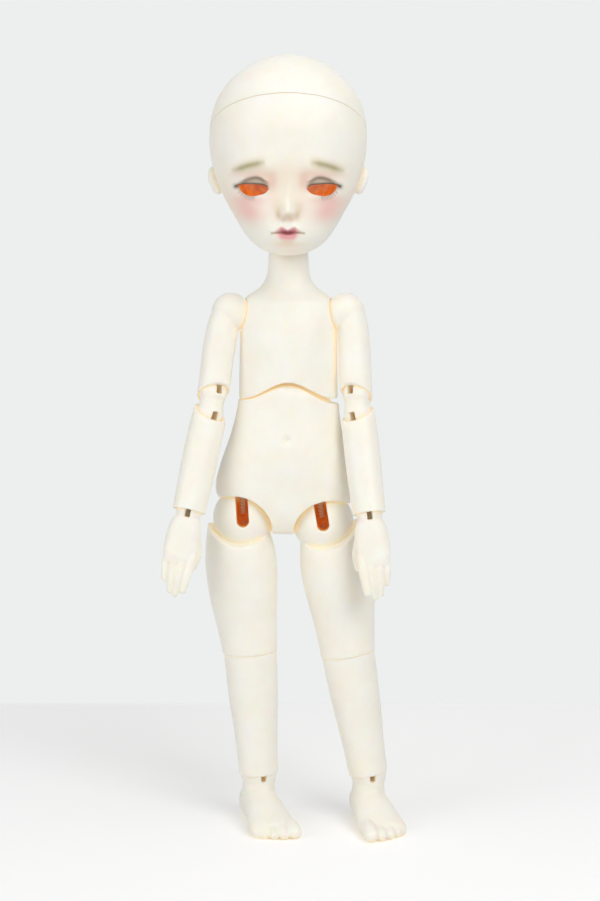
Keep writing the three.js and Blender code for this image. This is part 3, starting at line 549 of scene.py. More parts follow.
def makeHand():
    pieces = [ringTower(hand["palm"], 16)]
    for *points, root, tip in hand["fingers"]:
        pieces += digit(points, root, tip)
    piece = grow(pieces, hand["cast"]["voxel"])
    creases = []
    for _, knuckle, middle, _, _, root, _ in hand["fingers"][:4]:
        creases.append((knuckle[0], knuckle[1] - root, knuckle[2] + 0.6, *hand["knuckle"]))
        creases.append((middle[0], middle[1] - root, middle[2], *hand["crease"]))
    swell(piece, creases)
    combine(piece, [ballAt(arm["wristBall"])], "UNION")
    uncut = copyOf(piece)
    combine(piece, hookTools(arm["wristBall"], hand["hookSwing"]), "DIFFERENCE")
    installPair(castSkin(piece, uncut, **hand["cast"]), "hand", "hand", "hand")


makeHand()


# legs

leg = {
    "hipBall": 10.8, "kneeBall": 7.8, "ankleBall": 6.2, "fit": 0.3, "bore": 1.3, "slot": 2.6,
    "thigh": [(-58, 9.5, 9.4, 1), (-51, 9.75, 9.6, 1), (-46, 9.95, 9.8, 1.1), (-40, 10.5, 10.2, 1.5),
              (-32, 11.6, 11.3, 1.9), (-24, 12.6, 12.5, 2), (-15, 13, 13, 2), (-8, 11.9, 12.4, 2.2),
              (-3, 10.7, 11.5, 2.5), (3, 9.7, 10.6, 2.5)],
    "shin": [(-51, 6.9, 7), (-46, 7, 7.1), (-41, 7.1, 7.25, 0, 0.2), (-33, 7.5, 7.9, 0, 0.6),
             (-26, 8.1, 8.6, 0, 1), (-18, 8.8, 9.1, 0, 1), (-10, 9.2, 9.3, 0, 0.5), (-3, 9.4, 9.4),
             (3, 9.55, 9.5), (9, 9.6, 9.5)],
    "hipSlot": 4.2, "hipSlotEnd": (0, -12, -0.2), "hipSwing": (-20, 89), "kneeSwing": (-5, 86),
    "groin": 16.5, "groinRise": 9.3, "groinTilt": 8, "groinReach": 60,
    "kneecap": (1, -9, -46, 5, 4, 3.5, 0.3), "kneeWedge": 40, "kneeGap": 0.12, "ankleSeam": 0.8,
    "well": 3.6, "wellDepth": 9.5,
    "thighCast": {"voxel": 0.34, "rounds": 3}, "shinCast": {"voxel": 0.32, "rounds": 3, "share": 0.6},
}


def makeLeg():
    # level in front, and behind the knee a wedge that closes when it is fully bent
    wedge = math.radians(leg["kneeWedge"])
    knee = (pose["kneeSide"], 0, -pose["thigh"])
    rise, reach = leg["groinRise"], leg["groinReach"]
    fall = reach * math.tan(math.radians(leg["groinTilt"]))
    thigh = ringTower(leg["thigh"], 24)
    for angle in (0, wedge):
        trim(thigh, knee, (0, math.sin(angle), -math.cos(angle)))
    swell(thigh, [leg["kneecap"]])
    combine(thigh, [rodAt(leg["groin"], (0, -reach, rise - fall), (0, reach, rise + fall), 72)], "DIFFERENCE")
    combine(thigh, [ballAt(leg["hipBall"])], "UNION")
    uncut = copyOf(thigh)
    combine(thigh, [
        slotTool((0, 0, 0), leg["hipBall"] + 1, leg["hipSlot"], (0, 0, 1), (0, -1, 0), leg["hipSwing"],
                 leg["bore"]),
        rodAt(leg["hipSlot"] / 2, (0, 0, 0), leg["hipSlotEnd"], 40),
        rodAt(leg["bore"], (0, 0, 0), knee), ballAt(leg["kneeBall"] + leg["fit"], knee)], "DIFFERENCE")
    installPair(castSkin(thigh, uncut, **leg["thighCast"]), "thigh", "thigh", "thigh")

    ankle = (0, 0, -pose["shin"])
    shin = ringTower(leg["shin"], 24)
    for angle in (0, wedge):
        trim(shin, (0, 0, -leg["kneeGap"]), (0, math.sin(angle), math.cos(angle)))
    trim(shin, (0, 0, ankle[2] + leg["ankleSeam"]), (0, 0, -1))
    combine(shin, [ballAt(leg["kneeBall"])], "UNION")
    uncut = copyOf(shin)
    combine(shin, [
        slotTool((0, 0, 0), leg["kneeBall"] + 1, leg["slot"], (0, 0, 1), (0, 1, 0), leg["kneeSwing"],
                 leg["bore"]),
        rodAt(leg["bore"], (0, 0, 0), ankle), ballAt(leg["ankleBall"] + leg["fit"], ankle),
        rodAt(leg["well"], ankle, (0, 0, ankle[2] + leg["wellDepth"]))], "DIFFERENCE")
    installPair(castSkin(shin, uncut, **leg["shinCast"]), "shin", "shin", "shin")


makeLeg()


# feet: a tread lofted from heel to toes, and toes grown into it

foot = {
    "tread": [(-12.4, 2, 2.4, 0, 4.4), (-11.4, 3.4, 4.2, 0, 4.8), (-9.8, 4.6, 5.7, 0, 5.4),
              (-7, 5.5, 6.7, 0, 6.1), (-3, 6.2, 7.5, 0, 6.6), (3, 6.8, 7.3, 0, 6.4), (9, 7.5, 6.5, 0, 4.7),
              (15, 8.5, 5.3, 0.4, 2.9), (19, 8.7, 4.2, 0.6, 1.9), (22, 7.2, 2.8, 0, 1.5)],
    "toes": [  # root x, y, tip x, y and radius
        (-5.2, -17.5, -5.4, -24.3, 2.75), (-1.4, -17.5, -1.6, -24.2, 2.05), (1.8, -16.5, 1.7, -23, 1.95),
        (4.6, -15, 4.6, -21.2, 1.85), (7, -13, 7, -18.8, 1.75)],
    "arch": [(0, 1), (0.35, 1.1), (0.65, 0.9), (0.85, 0.4), (1, 0)],  # along a toe, and how high
    "toeRise": 0.85, "toeTip": 0.86,
    "column": [(-13, 6, 6.9, 0, 0.8), (-11, 6.1, 6.8, 0, 0.6), (-7, 6, 6.3, 0, 0.3), (-1.5, 5.9, 5.9),
               (1, 5, 5)],
    "growVoxel": 0.26, "hookSwing": (-34, 96), "cast": {"voxel": 0.27, "rounds": 3, "share": 0.7},
}


def makeFoot():
    sole = -pose["ankle"]
    tread = ringTower(foot["tread"], 20)
    tread.rotation_euler = (math.radians(90), 0, 0)
    tread.location = (0, 0, sole * mm)
    settle(tread)
    pieces = [tread, ringTower(foot["column"], 16), ballAt(leg["ankleBall"])]
    for x0, y0, x1, y1, radius in foot["toes"]:
        level = sole + radius * foot["toeRise"]
        path = [(x0 + (x1 - x0) * t, y0 + (y1 - y0) * t, level + lift) for t, lift in foot["arch"]]
        pieces += digit(path, radius, radius * foot["toeTip"])
    piece = grow(pieces, foot["growVoxel"])
    spots = []
    for _, _, x1, y1, radius in foot["toes"]:
        top = sole + radius * 1.8
        spots.append((x1, y1 - radius * 0.5, top - 0.3, radius * 0.55, radius * 0.6, 0.8, -0.14))
        spots.append((x1, y1 + 2.2, top + 0.4, radius, 0.5, 1, -0.12))
    swell(piece, spots)
    combine(piece, [ballAt(leg["ankleBall"])], "UNION")
    uncut = copyOf(piece)
    combine(piece, hookTools(leg["ankleBall"], foot["hookSwing"]), "DIFFERENCE")
    trim(piece, (0, 0, sole), (0, 0, -1))
    castSkin(piece, uncut, **foot["cast"])
    flat = coords(piece)
    flat[:, 2] = np.maximum(flat[:, 2], sole)
    setCoords(piece, flat)
    installPair(piece, "foot", "foot", "foot")


makeFoot()


# trunk: the chest sits with a wavy hem on the domed pelvis

trunk = {
    "chest": [(-6, 17.5, 11.9), (1, 17.5, 12), (8, 17.4, 12.4), (16, 17.3, 12.5), (24, 17.1, 12.2),
              (31, 17, 11.4, 0, 0.2), (36.2, 17, 9.8, 0, 0.8), (39.2, 15.4, 8.5, 0, 1.4),
              (41, 12.4, 7.8, 0, 1.9), (43, 9.3, 7.4, 0, 2.3), (46.5, 7.5, 7, 0, 2.6), (52, 7.1, 6.9, 0, 2.6),
              (57, 7, 6.8, 0, 2.6)],
    # breast, breastbone, spine, shoulder blades, collar bones and their pit, nipples
    "chestRelief": [
        (7, -12, 27, 6, 6, 7, 0.5), (0, -12, 26, 1.8, 5, 9, -0.3), (0, 13, 22, 1.8, 5, 14, -0.45),
        (8, 12, 28, 5, 5, 6, 0.5), (7, -9, 38, 6.5, 4, 1.1, 0.28), (0, -9, 40.5, 1.6, 4, 1.6, -0.35),
        (6.4, -12, 23.5, 0.9, 4, 0.9, 0.25)],
    "pelvis": [(-5.2, 6.5, 6.2, 0, 0.6), (-2.6, 13.6, 10.6, 0, 1), (2, 19.7, 13, 0, 1.2),
               (6, 23.4, 13.9, 0, 1.2), (10, 25.1, 14.1, 0, 1), (16, 24, 14.1, 0, 0.6),
               (22, 22.3, 13.7, 0, 0.1), (29, 20, 13.1, 0, -0.4), (36, 18.5, 12.3, 0, -0.2), (41, 17.7, 12),
               (50, 17.4, 11.9)],
    # belly, navel and its lip, buttocks and the cleft, dimples, spine
    "pelvisRelief": [
        (0, -14, 22, 11, 6, 9, 0.9), (0, -14, 29, 1, 4, 1.5, -1.7), (0, -14, 27, 1.6, 4, 0.9, 0.25),
        (10, 15, 6, 9, 8, 9, 2.2), (0, 15, 5, 2.2, 6, 11, -1.8), (4, 14, 18, 1.6, 4, 1.6, -0.3),
        (0, 13, 30, 1.8, 4, 9, -0.4)],
    "neckBall": 7.4, "throat": 4.2, "throatReach": (-8, 9), "dome": (15.4, 11.4), "domeFit": 0.35,
    "halfWidth": 16.5, "hem": (4, 10), "belly": (2.95, 8.95), "waveDepth": 90,
    "well": 3.4, "wellReach": (3, 13),
    "opening": 12.8, "openingShift": 2.9, "openingDrop": -4.5, "openingTurn": 4, "openingReach": 60,
    "slotReach": 20.5, "slotSwing": (-11, 34),
    "chestCast": {"voxel": 0.34, "share": 0.3}, "pelvisCast": {"voxel": 0.36, "share": 0.5},
}


# everything under a wave that is highest over the middle of the trunk
def waveTool(sideHeight, middleHeight, lift=0):
    half = trunk["halfWidth"] * 1.6
    bpy.ops.mesh.primitive_grid_add(x_subdivisions=96, y_subdivisions=2, size=2)
    tool = bpy.context.active_object
    points = coords(tool) * mm
    x = points[:, 0] * half
    wave = np.where(abs(x) < trunk["halfWidth"], (1 + np.cos(math.pi * x / trunk["halfWidth"])) / 2, 0)
    height = lift + sideHeight + (middleHeight - sideHeight) * wave
    setCoords(tool, np.stack([x, points[:, 1] * half, height], axis=1))
    edit(tool)
    bpy.ops.mesh.extrude_region_move(TRANSFORM_OT_translate={"value": (0, 0, -trunk["waveDepth"] * mm)})
    faceOutwards()
    return tool


def domeAt(grow, lift=0):
    bpy.ops.mesh.primitive_uv_sphere_add(segments=96, ring_count=64, radius=1)
    dome = bpy.context.active_object
    half, radius = ((value + grow) * mm for value in trunk["dome"])
    dome.scale = (half, radius, radius)
    dome.location = (0, 0, lift * mm)
    return settle(dome)


def makeChest():
    chest = ringTower(trunk["chest"], 24)
    swell(chest, bothSides(trunk["chestRelief"]))
    top = (0, pose["neckBack"], pose["neck"])
    combine(chest, [ballAt(trunk["neckBall"], top)], "UNION")
    uncut = copyOf(chest)
    sockets = [(side * pose["shoulderSide"], 0, pose["shoulder"]) for side in (-1, 1)]
    tools = [ballAt(arm["shoulderBall"] + arm["fit"], center) for center in sockets]
    throat = rodAt(trunk["throat"], *((0, top[1], top[2] + reach) for reach in trunk["throatReach"]), 40)
    tools += [rodAt(arm["bore"], *sockets), throat, domeAt(trunk["domeFit"]), waveTool(*trunk["hem"])]
    combine(chest, tools, "DIFFERENCE")
    castSkin(chest, uncut, **trunk["chestCast"])
    install(chest, "chest_cast", at["chest"], "chest", ["chest"], bodyResin)
    print("cast chest", len(chest.data.polygons), "faces")


def makePelvis():
    body = ringTower(trunk["pelvis"], 28)
    swell(body, bothSides(trunk["pelvisRelief"]))
    combine(body, [waveTool(*trunk["belly"], lift=pose["waist"])], "INTERSECT")
    combine(body, [domeAt(0, pose["waist"])], "UNION")
    uncut = copyOf(body)
    tools = [rodAt(trunk["well"], *((0, 0, pose["waist"] + reach) for reach in trunk["wellReach"]), 40)]
    aside = math.radians(trunk["openingTurn"])
    for side in (-1, 1):
        hip = Vector((side * pose["hipSide"], 0, 0))
        tools.append(ballAt(leg["hipBall"] + leg["fit"], hip))
        tools.append(slotTool(
            hip, trunk["slotReach"], leg["slot"], (0, 0, 1), (-side, 0, 0), trunk["slotSwing"], leg["bore"]))
        middle = hip + Vector((side * trunk["openingShift"], 0, trunk["openingDrop"]))
        along = Vector((side * math.sin(aside), math.cos(aside), 0)) * trunk["openingReach"]
        tools.append(rodAt(trunk["opening"], middle - along, middle + along, 80))
    combine(body, tools, "DIFFERENCE")
    castSkin(body, uncut, **trunk["pelvisCast"])
    install(body, "pelvis_cast", at["pelvis"], "pelvis", ["pelvis"], bodyResin)
    print("cast pelvis", len(body.data.polygons), "faces")


makeChest()
makePelvis()


# head: a modelled shell, cut by a sloping plane into face and cap

head = {
    "halfHeight": 34.2, "rise": 31.2, "forward": 3, "halfWidth": 27.2, "faceDepth": 26.5, "napeDepth": 31,
    "wall": 4.5, "floor": 11.2, "capSlope": 32, "capRise": 35.8, "gap": 0.24, "outerMesh": (330, 236),
    "innerMesh": (72, 56), "neckFit": 0.3, "throat": 2.8, "throatTop": 14.2, "magnet": 1.55, "magnetDepth": 1.7,
    "flare": [(-9, 14, 14), (-5.3, 10.6, 10.6), (0, 7.4, 7.4), (2, 6, 6)],
    # shares of the half width and depths, from the chin (-1) to the crown (1)
    "width": [(-1, 1), (-0.86, 0.92), (-0.75, 0.875), (-0.6, 0.86), (-0.45, 0.89), (-0.2, 0.945), (0.2, 1.02),
              (0.6, 1.085), (1, 1.1)],
    "face": [(-1, 2.4), (-0.91, 1.95), (-0.68, 1.27), (-0.42, 1.04), (-0.2, 0.98), (0.1, 1), (0.4, 1.06),
             (1, 1.05)],
    "nape": [(-1, 0.6), (-0.85, 0.7), (-0.6, 0.82), (-0.3, 0.95), (0.1, 1), (0.5, 1.03), (1, 1.05)],
    # how far the features stand out: |x|, z, half width, half height above, below, depth
    "features": [
        (0, 18.6, 1.9, 4.2, 5, 1.0), (0, 12.8, 2.3, 3.4, 1.9, 3.5), (2.2, 11.8, 1.2, 1.4, 1.2, 1.1),
        (4.0, 12.4, 0.9, 1.8, 1.6, -0.35), (1.2, 10, 0.8, 0.55, 0.55, -0.7), (0, 8.9, 0.8, 1.0, 0.9, -0.3),
        (0, 6.5, 6.5, 5, 5, 1.0),
        (1.8, 6.8, 1.8, 0.85, 0.9, 0.85), (0, 5.55, 4.4, 0.34, 0.34, -0.8), (0, 4.45, 2.7, 0.9, 1.0, 1.05),
        (0, 2.4, 2.9, 0.8, 0.9, -0.45), (0, 0.2, 3.8, 2, 2, 0.9), (12.5, 11, 6.5, 5.5, 4.5, 1.0),
        (11.2, 24.8, 7.5, 2.6, 2.6, -0.8), (5.8, 21.5, 2.2, 3.4, 3.4, -0.9),
        (11.6, 20.3, 5.6, 3.4, 3.8, 1.35), (12, 28, 7, 2.6, 2.6, 0.35)],
    "eye": 11.4, "eyeFront": -45.0, "eyeDepth": 33,
    "upperLid": [(6.2, 20.2), (7, 20.9), (8.2, 21.4), (11.6, 21.7), (15.2, 21.6), (16.8, 21.2)],
    "lowerLid": [(6.2, 20.2), (7.3, 18.9), (9.3, 18.1), (12, 17.7), (14.2, 18.1), (15.8, 19.4), (16.8, 21.2)],
    "crease": [(7.2, 22.2), (8.8, 23.2), (10.6, 23.7), (13, 23.3), (15.8, 22.2)],
    "ear": {
        "length": 9.8, "deep": 3.6, "thick": 2.1, "height": 22.6, "back": 0.3, "inset": 1.9,
        "splay": 30, "lean": -10, "tuck": 20,
        "relief": [  # shell, upper fold, the flap in front and the lobe
            (2.1, -1.0, 0.9, 1.6, 1.4, 2.2, -1.5), (2.1, 0.4, 2.5, 1.6, 1.0, 1.0, -0.6),
            (1.9, -2.6, -0.4, 1.2, 0.7, 0.9, 0.5), (1.6, 0.6, -3.6, 1.5, 1.4, 1.2, 0.35)],
    },
}


# a smooth curve through typed pairs
def curve(pairs, t):
    xs, ys = np.array(pairs, dtype=float).T
    last = len(xs) - 1
    low, high = np.maximum(np.arange(last + 1) - 1, 0), np.minimum(np.arange(last + 1) + 1, last)
    slopes = (ys[high] - ys[low]) / (xs[high] - xs[low])
    i = np.clip(np.searchsorted(xs, t) - 1, 0, last - 1)
    h = xs[i + 1] - xs[i]
    u = np.clip((t - xs[i]) / h, 0, 1)
    rise = (1 + 2 * u) * (1 - u) ** 2 * ys[i] + u * u * (3 - 2 * u) * ys[i + 1]
    return rise + h * (u * (1 - u) ** 2 * slopes[i] - u * u * (1 - u) * slopes[i + 1])


def relief(x, z):
    u = abs(x)
    out = np.zeros(len(x))
    for cx, cz, half, above, under, depth in head["features"]:
        out += depth * np.exp(-((u - cx) / half) ** 2 - ((z - cz) / np.where(z > cz, above, under)) ** 2)
    fold = np.exp(-((z - curve(head["crease"], u)) / 0.4) ** 2)
    edge = np.exp(-((z - curve(head["upperLid"], u) - 0.35) / 0.5) ** 2)
    window = np.exp(-(np.maximum(abs(u - head["eye"]) - 4, 0) / 0.9) ** 2)
    return out + window * (0.35 * edge - 0.5 * fold)


# a sphere pulled into the head's shape, with most of its rows and columns on the face
def headSkin(segments, rings, inset, modelled):
    bpy.ops.object.select_all(action="DESELECT")
    bpy.ops.mesh.primitive_uv_sphere_add(segments=segments, ring_count=rings, radius=1)
    obj = bpy.context.active_object
    unit = coords(obj) * mm
    row = 1 - np.arccos(np.clip(unit[:, 2], -1, 1)) / math.pi
    polar = np.interp(row, [0, 0.045, 0.66, 1], [0, 0.32, 1.6, math.pi])
    share = np.arctan2(unit[:, 0], -unit[:, 1])
    angle = share - 0.65 * np.sin(share)
    level, reach, ahead = -np.cos(polar), np.sin(polar), np.cos(angle)
    reach = np.where(np.hypot(unit[:, 0], unit[:, 1]) < 1e-6, 0, reach)
    x = (head["halfWidth"] * curve(head["width"], level) - inset) * reach * np.sin(angle)
    z = head["rise"] + (head["halfHeight"] - inset) * level
    front = -(head["faceDepth"] * curve(head["face"], level) - inset) * np.maximum(ahead, 0) ** 0.92
    rear = (head["napeDepth"] * curve(head["nape"], level) - inset) * np.maximum(-ahead, 0)
    y = (front + rear) * reach - head["forward"]
    if modelled:
        y -= relief(x, z) * np.clip(2 * ahead, 0, 1)
    setCoords(obj, np.stack([x, y, z], axis=1))
    return obj


# the half-closed eye, cut through the wall
def eyeTool(side):
    bpy.ops.object.select_all(action="DESELECT")
    bpy.ops.mesh.primitive_circle_add(vertices=96, radius=1, fill_type="NGON")
    tool = bpy.context.active_object
    unit = coords(tool) * mm
    low, high = head["upperLid"][0][0], head["upperLid"][-1][0]
    u = (low + high) / 2 + (high - low) / 2 * unit[:, 0]
    z = np.where(unit[:, 1] >= 0, curve(head["upperLid"], u), curve(head["lowerLid"], u))
    setCoords(tool, np.stack([side * u, np.full(len(u), head["eyeFront"]), z], axis=1))
    edit(tool)
    bpy.ops.mesh.extrude_region_move(TRANSFORM_OT_translate={"value": (0, head["eyeDepth"] * mm, 0)})
    faceOutwards()
    return tool


def makeEar():
    e = head["ear"]
    bpy.ops.mesh.primitive_uv_sphere_add(segments=64, ring_count=48, radius=1)
    ear = bpy.context.active_object
    ear.scale = (e["thick"] * mm, e["deep"] * mm, e["length"] / 2 * mm)
    settle(ear)
    half = e["length"] / 2
    points = coords(ear)
    points[:, 1] *= 0.86 + 0.2 * points[:, 2] / half  # a wide top and a small lobe
    setCoords(ear, points)
    swell(ear, e["relief"])
    spot = place(x=head["halfWidth"] - e["inset"], y=e["back"], z=e["height"])
    ear.matrix_world = spot @ turn(y=e["tuck"]) @ turn(z=e["splay"]) @ turn(x=e["lean"])
    return settle(ear)


def halfSpace(height, above):
    bpy.ops.mesh.primitive_cube_add(size=0.2, location=(0, 0, 0.1 if above else -0.1))
    block = settle(bpy.context.active_object)
    block.matrix_world = place(z=height) @ turn(x=-head["capSlope"])
    return settle(block)


def makeHeadShell():
    shell = headSkin(*head["outerMesh"], 0, True)
    ear = makeEar()
    combine(shell, [otherSide(ear), ear], "UNION")
    uncut = copyOf(shell)
    hollow = trim(headSkin(*head["innerMesh"], head["wall"], False), (0, 0, head["floor"]), (0, 0, -1))
    flare = ringTower(head["flare"], 32, 1)
    socket = ballAt(trunk["neckBall"] + head["neckFit"], segments=80, rings=60)
    tools = [hollow, flare, socket, rodAt(head["throat"], (0, 0, 0), (0, 0, head["throatTop"]))]
    combine(shell, tools + [eyeTool(1), eyeTool(-1)], "DIFFERENCE")
    return shell, uncut


# the face-up: blushing, lids, lashes, brows and lips, and painted shade, painted on the skin's points (mm
# across the face)
paints = {
    # tan and under are painted shade
    "blush": "#F8A29C", "tan": "#E3C9A2", "lidPink": "#E6AFA4", "lid": "#8A7860", "crease": "#6F5842",
    "lash": "#46331F", "smoke": "#7D6A50", "lowerLash": "#857470", "brow": "#B2A562", "browCore": "#8E8046",
    "upperLip": "#C2556F", "lowerLip": "#F0949C", "parting": "#8A1C3A", "corner": "#8E6A48",
    "under": "#D2AF86", "bare": "#F8EFDA",
    "lowerLashes": [(11.4, 17.5), (14.2, 17.9), (15.9, 19.2), (17, 20.8)], "lashEnd": (17.6, 20.9),
    "brows": [(8, 28.9), (10.6, 28.4), (13.2, 27.8), (16, 26.9), (18.6, 26.2)],
    "lipTop": [(0, 6.6), (1.2, 7.2), (2.3, 7.5), (3.6, 6.7), (5.3, 5.7)],
    "lipFoot": [(0, 3.2), (2, 3.5), (3.6, 4.4), (5.3, 5.4)],
    "mouth": [(0, 5.5), (2.5, 5.7), (5.4, 5.4)],
}


def paintFace(points, depth):
    x, z = points[:, 0], points[:, 2]
    u = abs(x)
    skin = (points[:, 1] < -8) & (depth < 0.5)
    color = np.tile(np.array(tint(paints["bare"])[:3]), (len(points), 1))
    cover = np.zeros(len(points))
    gloss = np.zeros(len(points))

    def spot(cx, cz, rx, rz):
        return np.exp(-((u - cx) / rx) ** 2 - ((z - cz) / rz) ** 2)

    def stroke(path, width):
        nearest = np.full(len(u), 1e9)
        for (ax, az), (bx, bz) in zip(path, path[1:]):
            dx, dz = bx - ax, bz - az
            along = np.clip(((u - ax) * dx + (z - az) * dz) / (dx ** 2 + dz ** 2), 0, 1)
            nearest = np.minimum(nearest, np.hypot(u - ax - along * dx, z - az - along * dz))
        return np.exp(-(nearest / width) ** 2)

    def lay(name, strength):
        nonlocal color, cover
        strength = np.where(skin, strength, 0)
        total = cover + strength * (1 - cover)
        part = np.divide(strength, total, out=np.zeros_like(total), where=total > 1e-6)
        color = color + (np.array(tint(paints[name])[:3]) - color) * part[:, None]
        cover = total

    def line(pairs, steps=24):
        across = np.linspace(pairs[0][0], pairs[-1][0], steps)
        return list(zip(across, curve(pairs, across)))

    # painted shade: between the brows, beside the nose, at the inner eye corners, under the brows, under the
    # lower lip and on the face's sides
    lay("tan", 0.36 * spot(0, 23, 6, 6) + 0.3 * spot(3.8, 14.2, 1.8, 3.4) + 0.34 * spot(6.2, 21, 2.4, 3.4)
        + 0.3 * spot(10, 25.4, 6, 2) + 0.4 * spot(0, 1.6, 4, 1) + 0.25 * spot(21, 14, 4, 9))
    lay("blush", 0.5 * spot(13, 12.4, 4.8, 3.8) + 0.24 * spot(16, 15.8, 3.4, 2.8) + 0.1 * spot(0, -0.6, 4, 2))
    lay("lidPink", 0.4 * spot(12, 16.4, 5, 1.4) + 0.4 * spot(11.8, 24.4, 5.4, 1.4)
        + 0.4 * spot(5.4, 22.4, 2, 2.8))
    # painted shade under the nose, at its wings and under the lower lip
    lay("under", 0.5 * spot(0, 10.7, 2.8, 1.5) + 0.4 * spot(3.2, 11.8, 1, 1.6) + 0.35 * spot(0, 2.4, 3, 0.8))
    lidBase, lidTop = curve(head["upperLid"], u), curve(head["crease"], u)
    inEye = 5.6 - abs(u - head["eye"])
    window = np.clip(inEye / 2.4, 0, 1)
    onLid = window * np.clip((z - lidBase) / 0.3, 0, 1) * np.clip((lidTop - z) / 0.9 + 1, 0, 1)
    lay("lid", 0.5 * onLid)
    lay("crease", 0.6 * stroke(line(head["crease"]), 0.75) * np.clip(inEye / 3, 0, 1))
    lashes = line(head["upperLid"])[2:] + [paints["lashEnd"]]
    lay("smoke", 0.6 * stroke(lashes, 1.0))
    lay("lash", 0.9 * np.clip(1.4 * stroke(lashes, 0.42), 0, 1))
    gloss = np.maximum(gloss, onLid)
    lay("lowerLash", 0.3 * stroke(paints["lowerLashes"], 0.55))
    for i in range(7):
        start = head["eye"] + 0.75 * i
        top = float(curve(head["lowerLid"], np.array([start]))[0]) - 0.1
        lay("lowerLash", 0.4 * stroke([(start, top), (start + 0.3 + 0.08 * i, top - 1.2 + 0.05 * i)], 0.22))
    taper = np.clip((u - 6.8) / 3.6, 0, 1) * np.clip((19.8 - u) / 4, 0, 1)
    feather = 1 + 0.06 * np.sin(2.6 * (2.1 * u + 1.2 * z))
    lay("brow", 0.58 * stroke(line(paints["brows"]), 1.5) * taper * feather)
    lay("browCore", 0.4 * stroke(line(paints["brows"]), 0.7) * taper * feather)
    mouth = curve(paints["mouth"], u)
    soft = np.clip((5.2 - u) / 3, 0, 1)
    upper = soft * np.clip((curve(paints["lipTop"], u) - z) / 0.9 + 0.5, 0, 1) * (z >= mouth)
    lower = soft * np.clip((z - curve(paints["lipFoot"], u)) / 1.6 + 0.5, 0, 1) * (z < mouth)
    lay("upperLip", 0.8 * upper)
    lay("lowerLip", 0.8 * lower)
    gloss = np.maximum(gloss, 0.7 * np.maximum(upper, lower))
    lay("corner", 0.6 * stroke(line(paints["mouth"]), 0.4) * np.clip((u - 1.6) / 1.6, 0, 1))
    lay("parting", 0.92 * stroke(line(paints["mouth"]), 0.7) * np.clip((3.4 - u) / 2.2, 0, 1))
    return np.column_stack([color, cover]), gloss


def makeHead():
    shell, uncut = makeHeadShell()
    cap = copyOf(shell)
    slope = math.radians(head["capSlope"])
    normal = Vector((0, math.sin(slope), math.cos(slope)))
    seam = Vector((0, 0, head["capRise"]))
    pieces = {"head_face": (shell, False), "head_cap": (cap, True)}
    tree = BVHTree.FromObject(uncut, bpy.context.evaluated_depsgraph_get())
    for name, (piece, above) in pieces.items():
        out = 1 if above else -1
        combine(piece, [halfSpace(head["capRise"] + out * head["gap"] / 2, above)], "INTERSECT")
        for side in (-1, 1):
            spot = Vector((side * (head["halfWidth"] - 0.6 * head["wall"]), 0, head["capRise"]))
            pocket = rodAt(head["magnet"], spot, spot + normal * out * head["magnetDepth"])
            combine(piece, [pocket], "DIFFERENCE")
        points = coords(piece)
        depth = np.array([tree.find_nearest(v.co)[3] / mm for v in piece.data.vertices])
        # painted glow: the inside glows, less so at the seam and not at all at the neck
        wall = np.clip((depth - 0.35) / 0.8, 0, 1)
        level = (points - np.array(seam)) @ np.array(normal)
        near = np.exp(-(np.minimum(abs(level), 20) / 6) ** 2)
        light = wall * (points[:, 2] > 9) * np.clip(1 - 0.88 * near, 0, 1)
        paint, gloss = paintFace(points, depth)
        mesh = piece.data
        for key, values in (("depth", depth), ("light", light), ("gloss", gloss)):
            mesh.attributes.new(key, "FLOAT", "POINT").data.foreach_set("value", values)
        mesh.color_attributes.new("paint", "FLOAT_COLOR", "POINT").data.foreach_set("color", paint.ravel())
        only(piece)
        bpy.ops.object.shade_smooth_by_angle(angle=math.radians(42))
        body = "head_cap" if above else "head"
        install(piece, f"{name}_cast", at["head"], body, [name], faceResin)
        print("cast", name, len(mesh.polygons), "faces")
    bpy.data.objects.remove(uncut, do_unlink=True)


makeHead()


# stringing, hooks and magnets keep their solids and get their own finishes

stringing = {
    "white": "#F1EDE4", "ribShade": "#C9C2B4", "rib": 0.5,
    "wire": "#B9BCC0", "wireRough": 0.3, "plate": "#C8CACB", "plateRough": 0.22, "scratch": 0.3,
}


# covered elastic: white braid with raised ribs and painted grey shade between them
def elasticMaterial():
    material, tree, surface = newMaterial("coveredElastic")
    where = node(tree, "ShaderNodeTexCoord").outputs["Object"]
    ribs = node(tree, "ShaderNodeTexWave", {"bands_direction": "DIAGONAL"}, Vector=where,
                Scale=0.31 / (stringing["rib"] * mm), Distortion=0.6).outputs["Fac"]
    # painted shade: the grooves between the ribs are grey
    color = ramp(tree, ribs, (0.1, tint(stringing["ribShade"])), (0.7, tint(stringing["white"])))
    feed(tree, surface, Base_Color=color, Normal=bump(tree, 0.5, 0.15 * mm, ribs), Roughness=0.85,
         Sheen_Weight=0.3)
    return material


# bent steel wire and plated magnets: bright metal with fine drawn scratches
def metalMaterial(name, hexCode, roughness):
    material, tree, surface = newMaterial(name)
    scratch = noise(tree, stringing["scratch"] * mm, 4.0)
    feed(tree, surface, Base_Color=tint(hexCode), Metallic=1, Normal=bump(tree, 0.1, 0.02 * mm, scratch),
         Roughness=spread(tree, scratch, 0, 1, roughness - 0.1, roughness + 0.15))
    return material


def finishSolids():
    elastic = elasticMaterial()
    wire = metalMaterial("steelWire", stringing["wire"], stringing["wireRough"])
    plated = metalMaterial("platedMagnet", stringing["plate"], stringing["plateRough"])
    for name, obj in frame["nodes"].items():
        if obj.hide_render:
            continue
        finish = elastic if "elastic" in name else plated if "magnet" in name else wire
        obj.data.materials.clear()
        obj.data.materials.append(finish)
        only(obj)
        bpy.ops.object.shade_smooth_by_angle(angle=math.radians(50))
        print("finished", name, finish.name)


finishSolids()


# a pale table whose far edge meets a pale room, with soft light from large panels

